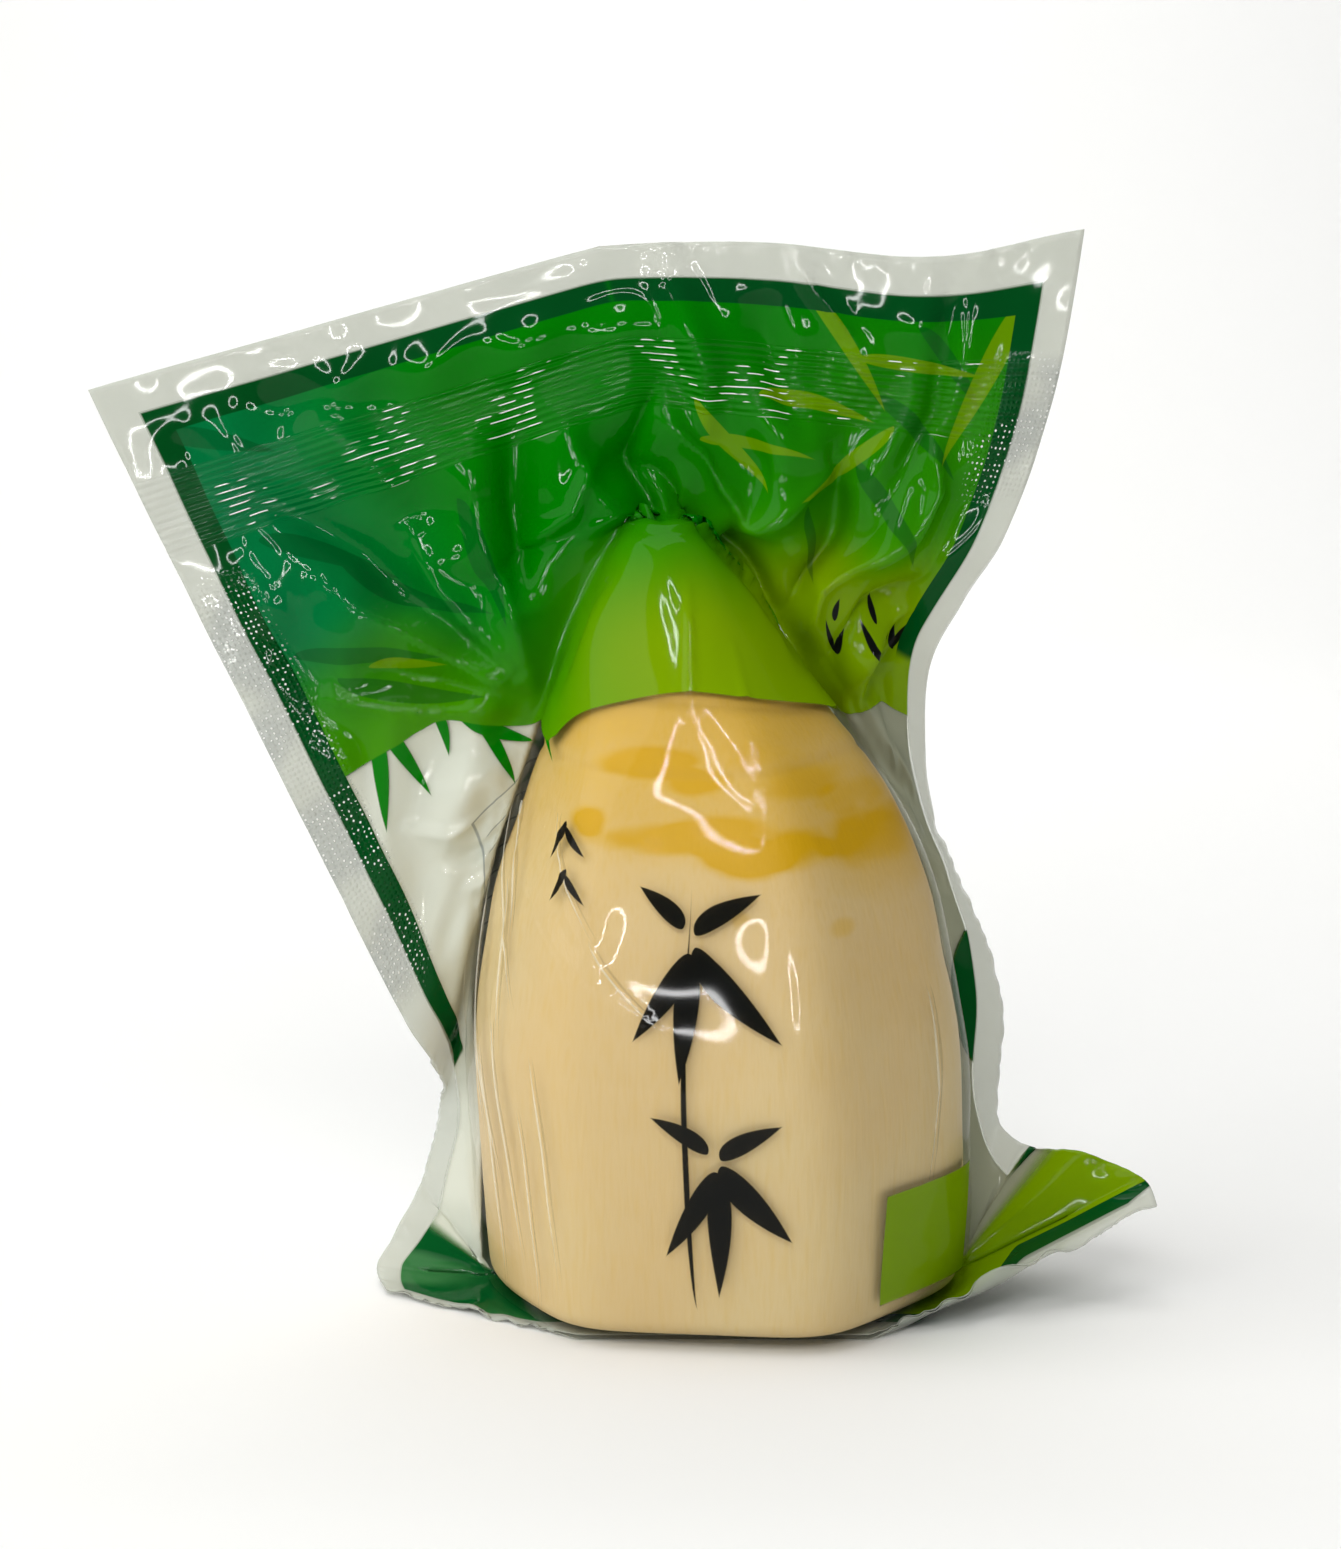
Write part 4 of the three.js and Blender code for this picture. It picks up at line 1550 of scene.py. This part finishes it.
    def material(self, zone: Zone) -> bpy.types.Material:
        """Builds the finish of one zone of a web.

        Args:
            zone: which zone.

        Returns:
            The material: ink over clear film, with painted glints on the seals and painted shade on
                the knurl, under a thin gloss, with the seals' relief.
        """
        shader = Shader(zone.value)
        if zone is Zone.INSIDE:
            return shader.finish(shader.see_through(self.within))
        s, t = shader.flat_place(PRINT_LAYER)
        if zone in (Zone.MIDDLE, Zone.FLANK):
            return self.surface(shader, *self.window_print(PrintPlace(shader, zone, s, t)))
        low = t * (1 - s.step(*self.low_rise) * self.low_share)
        above, below = self.ear_up
        ear = s.step(*self.ear_across) * t.step(*above) * t.step(*below)
        side, top = self.edge
        rim = (side - s.size() + ear * self.ear).least(top - t).least(low)
        at = PrintPlace(shader, zone, s, t, rim)
        cover, colour = (self.back_print if zone is Zone.BACK else self.front_print)(at)
        seal = rim.step(self.margin + 0.3, self.margin - 0.3)
        colour = shader.blend(seal, colour, self.haze)
        middle, half, pitch = self.ribs
        wave = (t * (2 * math.pi / pitch)).sine()
        ribbed = (t - middle).size().step(half + self.crisp, half - self.crisp)
        grain = 2 * math.pi / self.dots
        dots = ((s + t) * grain).sine() * ((s - t) * grain).sine()
        left, right = (s.step(*out) * (t - place).size().step(*high)
                       for out, place, high in (self.left_knurl, self.right_knurl))
        knurled = left.most(right)
        patch, speck = at.noise(self.patch_scale), at.noise(self.speck_scale)
        ticks = at.noise(self.tick_scale, self.tick_width)
        # Painted glints: white specks on the knurled dots and on the ribs' crests, in patches of
        # noise.
        glints_on_dots = dots.step(0.5, 0.7) * knurled * speck.step(0.5, 0.56) * patch.step(0.42, 0.5)
        glints_on_ribs = wave.step(0.82, 0.97) * ribbed * patch.step(0.58, 0.62) * ticks.step(0.46, 0.52)
        painted_glint = glints_on_dots.most(glints_on_ribs * s.size().step(*self.rib_side))
        # The knurled seal is greyed in mottled patches: painted shade.
        colour = shader.blend(knurled * seal * patch.step(0.34, 0.56) * 0.5, colour, self.grey)
        colour = shader.blend(painted_glint, colour, self.painted_glint)
        whole = cover.most(seal * self.seal_cover).most(painted_glint * self.painted_glint_cover)
        on_rib, on_dot, unit = self.relief
        height = wave * ribbed * on_rib + dots.most(0.0) * knurled * on_dot
        return self.surface(shader, whole, colour, shader.bump(1.0, unit, height))

    def surface(self, shader: Shader, cover: Value, colour: Value,
                relief: "bpy.types.NodeSocket | None" = None) -> bpy.types.Material:
        """Joins ink, clear film and gloss.

        Args:
            shader: the tree to add to.
            cover: how much of the film the ink, the painted glints and the painted fold lines
                cover.
            colour: the colour of the ink, the painted glints and the painted fold lines.
            relief: the normal to shade with, or None for the surface's own.

        Returns:
            The material.
        """
        turned = {} if relief is None else {"Normal": relief}
        ink = shader.node("BsdfPrincipled", {
            "Base Color": colour, "Roughness": self.ink_roughness,
            "Specular IOR Level": 0.0} | turned)
        gloss = shader.node("BsdfGlossy", {
            "Color": (1, 1, 1, 1), "Roughness": self.gloss_roughness} | turned)
        facing = shader.node("LayerWeight", {"Blend": 0.5})
        straight, edge = self.mirror
        mirror = Value(shader, facing.outputs["Facing"]) ** 5 * edge + straight
        body = shader.mixed(cover, shader.see_through(self.clear), ink.outputs[0])
        return shader.finish(shader.mixed(mirror, body, gloss.outputs[0]))


# ---- the pieces ----

@dataclass
class ShootPiece:
    """The peeled shoot: its form with node rings and the shallow traces of the peeled sheaths."""

    form: ShootForm
    finish: FleshFinish
    sides: int = 320
    rings: int = 250
    rings_at: tuple = (96.0, 106.5, 115.5, 123.0, 129.0)
    wander: float = 1.2            # how far a node ring goes up and down round the shoot
    groove: tuple = (0.28, 0.9)    # its depth and width,
    ridge: tuple = (0.16, 2.0, 1.2)    # and the ridge's height, place above it and width
    bumps: tuple = (9, 0.11)       # the reach, in grid steps, and the height of the uneven flesh
    fades: tuple = ((4, 14), (136, 130))  # all of it ends near the base and near the tip
    corner_rings: int = 6          # how many rings round the base's edge
    top_gap: float = 0.02          # from the last ring up to the tip
    seed: int = 5

    def relief(self, angle: np.ndarray, level: np.ndarray) -> np.ndarray:
        """How far the surface stands proud of its form, in millimetres.

        The noise is made to close over the last twelfth of the turn.

        Args:
            angle: the direction of each point.
            level: its height.

        Returns:
            The node rings and the uneven flesh, as an array like level.
        """
        height = np.zeros_like(level)
        for at in self.rings_at:
            place = level - at - self.wander * np.sin(angle * 2 + at)
            height -= self.groove[0] * np.exp(-(place / self.groove[1]) ** 2)
            high, above, wide = self.ridge
            height += high * np.exp(-((place - above) / wide) ** 2)
        rng = np.random.default_rng(self.seed)
        reach, high = self.bumps
        noise = ripple(rng, (self.rings + 1, self.sides + 1), reach) * high
        closing = smooth(0, 1, np.linspace(0, 1, self.sides + 1) * 12 - 11)[None, :]
        noise = mix(noise, noise[:, :1], closing)
        low, top = self.fades
        return (height + noise[:, :-1]) * smooth(*low, level) * smooth(*top, level)

    def build(self) -> bpy.types.Object:
        """Makes the piece: rings of points from the base's edge to the tip, closed at both ends.

        Returns:
            The shoot.
        """
        form = self.form
        start, rounds = form.base + form.base_round, self.corner_rings
        corner = start - form.base_round * np.cos(np.arange(rounds) / rounds * math.pi / 2)
        share = np.linspace(0, 1, self.rings + 1 - rounds)
        evened = mix(share, np.sin(share * math.pi / 2), 0.3)
        body = mix(start, form.tip - self.top_gap, evened)
        level = np.concatenate([corner, body])
        angle = np.linspace(0, 2 * math.pi, self.sides, endpoint=False)
        turn, height = np.meshgrid(angle, level)
        points = form.point(turn, height, self.relief(turn, height)).reshape(-1, 3)
        sides, rows = self.sides, self.rings + 1
        step = np.arange(sides)
        after = (step + 1) % sides
        ring = (np.arange(rows - 1) * sides)[:, None]
        a, b = (ring + step).ravel(), (ring + after).ravel()
        quads = np.stack([a, b, b + sides, a + sides], -1)
        foot, top = rows * sides, rows * sides + 1
        last = (rows - 1) * sides
        caps = [(foot, j, i) for i, j in zip(step.tolist(), after.tolist())]
        caps += [(top, last + i, last + j) for i, j in zip(step.tolist(), after.tolist())]
        ends = [points[:sides].mean(0), points[-sides:].mean(0) + (0, 0, self.top_gap)]
        made = mesh_object("shoot_flesh", np.concatenate([points, ends]), quads.tolist() + caps)
        made.data.materials.append(self.finish.material())
        return made


@dataclass
class FilmPiece:
    """One web of the pouch, as a closed thin shell round its middle surface."""

    side: Side
    finish: FilmFinish
    name: str
    thick: float = 0.12

    def build(self, middle: np.ndarray, grid: TightGrid) -> bpy.types.Object:
        """Makes the piece.

        Args:
            middle: rows by columns by 3, the middle surface.
            grid: the grid, for its flat places.

        Returns:
            The film, with its flat places as a UV layer in millimetres.
        """
        rows, columns = middle.shape[:2]
        out = grid_normals(middle) * self.thick / 2
        points = np.concatenate([(middle + out).reshape(-1, 3), (middle - out).reshape(-1, 3)])
        a = (np.arange(rows - 1)[:, None] * columns + np.arange(columns - 1)[None, :]).ravel()
        upper = np.stack([a, a + 1, a + 1 + columns, a + columns], -1)
        lower = upper[:, ::-1] + rows * columns
        ids = np.arange(rows * columns).reshape(rows, columns)
        rim = np.concatenate([ids[0, :-1], ids[:-1, -1], ids[-1, :0:-1], ids[:0:-1, 0]])
        after = np.roll(rim, -1)
        walls = np.stack([rim, rim + rows * columns, after + rows * columns, after], -1)
        faces = np.concatenate([upper, lower, walls])
        made = mesh_object(self.name, points, faces.tolist())
        flat = np.stack(np.meshgrid(grid.across, grid.along), -1).reshape(-1, 2)
        flat = np.concatenate([flat, flat])
        layer = made.data.uv_layers.new(name=PRINT_LAYER)
        loops = np.empty(len(made.data.loops), np.int32)
        made.data.loops.foreach_get("vertex_index", loops)
        layer.data.foreach_set("uv", flat[loops].astype(np.float32).ravel())
        count = len(upper)
        finish_of = np.zeros(len(faces), np.int32)
        if self.side is Side.FRONT:
            zones = (Zone.LEFT, Zone.INSIDE, Zone.RIGHT, Zone.MIDDLE, Zone.FLANK)
            s, t = (flat[upper[:, 0]] + grid.step / 2).T
            wide, low, high = self.finish.window
            window = (np.abs(s) < wide) & (t > low) & (t < high)
            inner = (s > self.finish.middle[0]) & (s < self.finish.middle[1])
            finish_of[:count] = np.where(window, np.where(inner, 3, 4), np.where(s < 0, 0, 2))
            finish_of[count:2 * count] = 1
        else:
            zones = (Zone.BACK, Zone.INSIDE)
            finish_of[:count] = 1
        for zone in zones:
            made.data.materials.append(self.finish.material(zone))
        made.data.polygons.foreach_set("material_index", finish_of)
        return made


@dataclass
class PackedShoot:
    """The whole part: the shoot in its two webs of film."""

    form: ShootForm = ShootForm(cut_sharpness=13.0)
    tight: ShootForm = ShootForm()
    coarse: float = 2.0
    coarse_rounds: int = 260
    fine_rounds: int = 120
    parted: tuple = ((-24, -12), (12, 4))  # where crossed webs are parted, from the tip's row
    lowest: float = 0.07           # no part of the film lies lower
    creases: tuple = crease_set(
        # The deep folds above the tip, and beside it.
        (-4.4, 3.4, SHARP, (5, 243), (-5.5, 229), (-1, 213)),
        (-5.0, 4.2, SHARP, (-5, 229), (9.5, 218.5), (27, 205), (38, 191)),
        (2.6, 2.8, SHARP, (4, 236), (15, 226), (25, 213)),
        (2.4, 3.4, SHARP, (-14, 240), (-13, 228), (-10, 218)),
        (-3.6, 4.2, ROUND, (-21.5, 246), (-27.5, 224.5), (-36, 200)),
        (-1.0, 2.2, ROUND, (-31.5, 180), (-21, 197), (-10, 205)),
        (2.2, 1.8, SHARP, (-9.5, 232), (-18, 221), (-29, 219)),
        # Ridges and valleys that fan out to the left.
        (3.2, 3.0, SHARP, (-34, 232), (-36.5, 208), (-40.5, 181)),
        (2.6, 2.4, SHARP, (-47, 229), (-45.5, 206), (-41, 188)),
        (-2.2, 2.0, SHARP, (-52, 214), (-47, 202), (-42, 190)),
        (2.8, 2.6, SHARP, (-66, 224), (-55, 206), (-43, 187)),
        (-2.0, 2.2, SHARP, (-66, 206), (-55, 197), (-45, 186)),
        (2.0, 2.2, SHARP, (-78, 206), (-62, 194), (-46, 183)),
        (-2.2, 3.4, ROUND, (-70, 243), (-57, 228), (-49, 210)),
        (1.6, 3.4, ROUND, (-56, 252), (-50, 244), (-47, 236)),
        # Ridges and valleys that fan out to the right.
        (3.4, 3.0, SHARP, (46, 188), (53, 204), (67, 220)),
        (-3.6, 3.0, SHARP, (44, 194), (47, 210), (46, 228)),
        (-3.0, 2.6, SHARP, (55, 189), (64, 202), (76, 213)),
        (2.4, 2.4, SHARP, (67, 221), (70, 228), (66, 238)),
        (2.6, 2.2, SHARP, (60, 184), (68, 197), (78, 206)),
        (2.6, 2.6, SHARP, (20, 209), (33.5, 221), (45, 231)),
        (-1.8, 1.8, SHARP, (66, 184), (74, 194), (80, 201)),
        (-1.8, 3.0, ROUND, (66, 266), (65, 242), (58, 226)),
        (1.4, 1.4, SHARP, (36, 268), (40, 262), (47, 255)),
        (1.8, 4.0, ROUND, (12, 264), (16, 246), (14, 232)),
        (-1.6, 4.0, ROUND, (28, 262), (31, 246), (35, 236)),
        # Thin lines over the shoot.
        (0.5, 0.6, SHARP, (-49, 165), (-37, 147), (-25, 136), (-8, 124)),
        (0.45, 0.55, SHARP, (-34, 178), (-29, 160), (-24, 142), (-16, 130)),
        (0.5, 0.8, SHARP, (-52, 172), (-60, 154), (-66, 132)),
        (0.4, 0.6, SHARP, (-36, 168), (-42, 150), (-44, 122), (-40, 96)),
        (0.6, 0.7, SHARP, (4, 200), (0, 176)),
        (0.5, 0.7, SHARP, (13, 190), (11, 170), (8, 154)),
        (0.45, 0.6, SHARP, (40, 118), (37, 94)),
        (0.6, 0.8, SHARP, (62, 140), (70, 118), (72, 92)),
        # Small folds over the window at the left.
        (1.2, 1.6, ROUND, (-73, 174), (-66, 166), (-58, 163)),
        (-1.2, 1.5, ROUND, (-70, 164), (-62, 156), (-56, 155)),
        (1.1, 1.4, ROUND, (-66, 152), (-60, 145), (-57, 136)),
        (1.3, 1.8, ROUND, (-55, 172), (-52, 158), (-54, 142)),
        (1.0, 1.4, ROUND, (-62, 138), (-59, 128), (-58, 116)),
    )

    def films(self, pouch: PouchForm) -> tuple:
        """The webs' middle surfaces, set apart in the fins and where they cross at the tip.

        The folds are found on a coarse grid first, and then on one twice as fine.

        Args:
            pouch: the pouch's tight form.

        Returns:
            The webs, and the fine grid.
        """
        drape = FilmDrape(pouch, self.form, self.creases)
        moved = doubled(drape.settle(self.coarse, self.coarse_rounds)[1])
        points, _, glued, grid = drape.settle(self.coarse / 2, self.fine_rounds, moved)
        lack = np.maximum(2 * pouch.web_pitch - (points[1, ..., 1] - points[0, ..., 1]), 0) / 2
        for ends in self.parted:
            lack *= grid.rows(*ends, drape.tip_row)
        points[0, ..., 1] -= lack
        points[1, ..., 1] += lack
        apart = grid_normals(points.mean(0)) * pouch.web_pitch / 2 * glued[..., None]
        points[0] += apart
        points[1] -= apart
        points[..., 2] = np.maximum(points[..., 2], self.lowest)
        return points, grid

    def build(self) -> None:
        """Builds the pieces, attaches each to the root body and hides the CAD part it replaces."""
        shoot = ShootPiece(self.form, FleshFinish()).build()
        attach(shoot, "root")
        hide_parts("shoot")
        LOG.info("shoot: %d faces", len(shoot.data.polygons))
        pouch = PouchForm(self.tight)
        webs, grid = self.films(pouch)
        for points, side, name, node, slot in (
                (webs[0], Side.FRONT, "front_web", "front_film", "printed_film"),
                (webs[1], Side.BACK, "back_web", "back_film", "white_film")):
            web = FilmPiece(side, FilmFinish(), name).build(points, grid)
            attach(web, "root")
            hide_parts(node)
            LOG.info("%s: %d faces", name, len(web.data.polygons))


# ---- the stage ----

@dataclass(frozen=True)
class Lamp:
    """A square area light that looks at a point."""

    place: tuple
    size: float
    power: float
    target: tuple = (-0.01, 0.0, 0.09)
    mirrored: bool = True          # whether glossy surfaces show it

    def build(self, name: str) -> None:
        """Adds the light.

        Args:
            name: the light's name.
        """
        data = bpy.data.lights.new(name, "AREA")
        data.size = self.size
        data.energy = self.power
        lamp = placed(name, data)
        lamp.location = self.place
        lamp.visible_glossy = self.mirrored
        way = np.array(self.target) - np.array(self.place)
        flat = math.hypot(way[0], way[1])
        lamp.rotation_euler = (math.atan2(flat, -way[2]), 0, math.atan2(-way[0], way[1]))


@dataclass(frozen=True)
class RingLamp:
    """A flat ring that shines towards the part and that the camera doesn't see."""

    place: tuple
    radius: float
    width: float = 0.014
    strength: float = 85.0
    target: tuple = (-0.01, 0.0, 0.10)
    sides: int = 40

    def build(self, name: str) -> bpy.types.Object:
        """Makes the ring: two circles round its place, across the way it shines.

        Args:
            name: the ring's name.

        Returns:
            The ring.
        """
        way = np.array(self.target) - np.array(self.place)
        way = way / np.linalg.norm(way)
        right = np.cross(way, (0, 0, 1))
        right = right / np.linalg.norm(right)
        turn = np.linspace(0, 2 * math.pi, self.sides, endpoint=False)[:, None]
        circle = np.cos(turn) * right + np.sin(turn) * np.cross(right, way)
        reach = self.radius + np.array([-0.5, 0.5])[:, None, None] * self.width
        points = (np.array(self.place) + reach * circle).reshape(-1, 3) / MM
        i = np.arange(self.sides)
        j = (i + 1) % self.sides
        faces = np.stack([i, i + self.sides, j + self.sides, j], -1)
        ring = mesh_object(name, points, faces.tolist())
        shader = Shader(name)
        glow = shader.node("Emission", {"Color": (1, 1, 1, 1), "Strength": self.strength})
        ring.data.materials.append(shader.finish(glow.outputs[0]))
        ring.visible_camera = False
        ring.visible_diffuse = False
        return ring


@dataclass
class Stage:
    """The camera, a plain pale floor and soft studio light, with small lamps for crisp glints."""

    camera_place: tuple = (-0.0074, -0.51494, 0.16437)
    camera_tilt: float = 82.0
    lens: float = 69.0
    floor_width: float = 3.0
    floor_front: float = -0.9
    wall_back: float = 2.2         # the floor sweeps up into a wall here
    sweep: float = 1.0             # in a curve of this radius
    sweep_steps: int = 24
    wall_height: float = 3.0
    floor_colour: tuple = srgb(246, 246, 244)
    world_light: float = 0.14      # what the world gives off
    world_seen: float = 0.90       # and how pale it is to the eye
    lamps: tuple = (
        Lamp((-0.2, 0.25, 1.9), 1.6, 16.5),
        Lamp((-1.7, -0.65, 1.4), 2.2, 29.0),
        Lamp((-0.1, -0.9, 0.75), 0.5, 4.2, mirrored=False),
        Lamp((0.0, 0.9, 1.6), 1.2, 15.0, (0.0, 2.2, 0.6)),
    )
    # Ring lamps, in front and above, that the film mirrors as thin loops.
    rings: tuple = (
        RingLamp((-0.17, -0.90, 0.86), 0.14), RingLamp((0.05, -0.80, 0.98), 0.09),
        RingLamp((-0.42, -0.98, 0.34), 0.09), RingLamp((-0.10, -1.05, 0.32), 0.07),
        RingLamp((0.20, -1.0, 0.22), 0.07), RingLamp((-0.24, -1.0, 0.14), 0.06),
    )

    def camera(self) -> None:
        """Adds the camera, level from side to side and tilted down a little."""
        camera = placed("camera", bpy.data.cameras.new("camera"))
        camera.data.lens = self.lens
        camera.data.clip_start = 0.01
        camera.location = self.camera_place
        camera.rotation_euler = (math.radians(self.camera_tilt), 0, 0)
        bpy.context.scene.camera = camera

    def floor(self) -> None:
        """Adds the floor, which sweeps up into a wall at the back."""
        turn = np.linspace(0, math.pi / 2, self.sweep_steps + 1)
        curve = self.wall_back - self.sweep + self.sweep * np.sin(turn)
        back = np.concatenate([[self.floor_front, 0.0], curve, [self.wall_back]])
        up = np.concatenate([[0.0, 0.0], self.sweep * (1 - np.cos(turn)), [self.wall_height]])
        left = np.stack([np.full(len(back), -self.floor_width / 2), back, up], -1)
        points = np.concatenate([left, left * (-1, 1, 1)]) / MM
        count = len(back)
        faces = [(i, i + count, i + count + 1, i + 1) for i in range(count - 1)]
        floor = mesh_object("floor", points, faces)
        shader = Shader("floor")
        paint = shader.node("BsdfPrincipled", {"Base Color": self.floor_colour, "Roughness": 0.8})
        floor.data.materials.append(shader.finish(paint.outputs[0]))

    def world(self) -> None:
        """Adds the white world: faint as a light, and pale where the camera sees it."""
        world = bpy.data.worlds.new("studio")
        world.use_nodes = True
        sky = world.node_tree.nodes["Background"]
        sky.inputs["Color"].default_value = (1.0, 1.0, 1.0, 1)
        links, path = world.node_tree.links, world.node_tree.nodes.new("ShaderNodeLightPath")
        level = world.node_tree.nodes.new("ShaderNodeMath")
        level.operation = "MULTIPLY_ADD"
        level.inputs[1].default_value = self.world_seen - self.world_light
        level.inputs[2].default_value = self.world_light
        links.new(path.outputs["Is Camera Ray"], level.inputs[0])
        links.new(level.outputs[0], sky.inputs["Strength"])
        bpy.context.scene.world = world

    def build(self) -> None:
        """Adds the camera, the floor, the world and the lamps, and says how light travels."""
        self.camera()
        self.floor()
        self.world()
        for number, lamp in enumerate(self.lamps):
            lamp.build(f"lamp_{number}")
        for number, ring in enumerate(self.rings):
            ring.build(f"ring_lamp_{number}")
        scene = bpy.context.scene
        scene.view_settings.view_transform = "Standard"
        scene.cycles.max_bounces = 5
        scene.cycles.diffuse_bounces = 2
        scene.cycles.glossy_bounces = 2
        # The folds hold many layers of clear film, and a ray needs one for each.
        scene.cycles.transparent_max_bounces = 32


def main() -> None:
    """Builds the stage and the part."""
    logging.basicConfig(level=logging.INFO, format="%(name)s: %(message)s")
    Stage().build()
    PackedShoot().build()


if __name__ == "__main__":
    main()
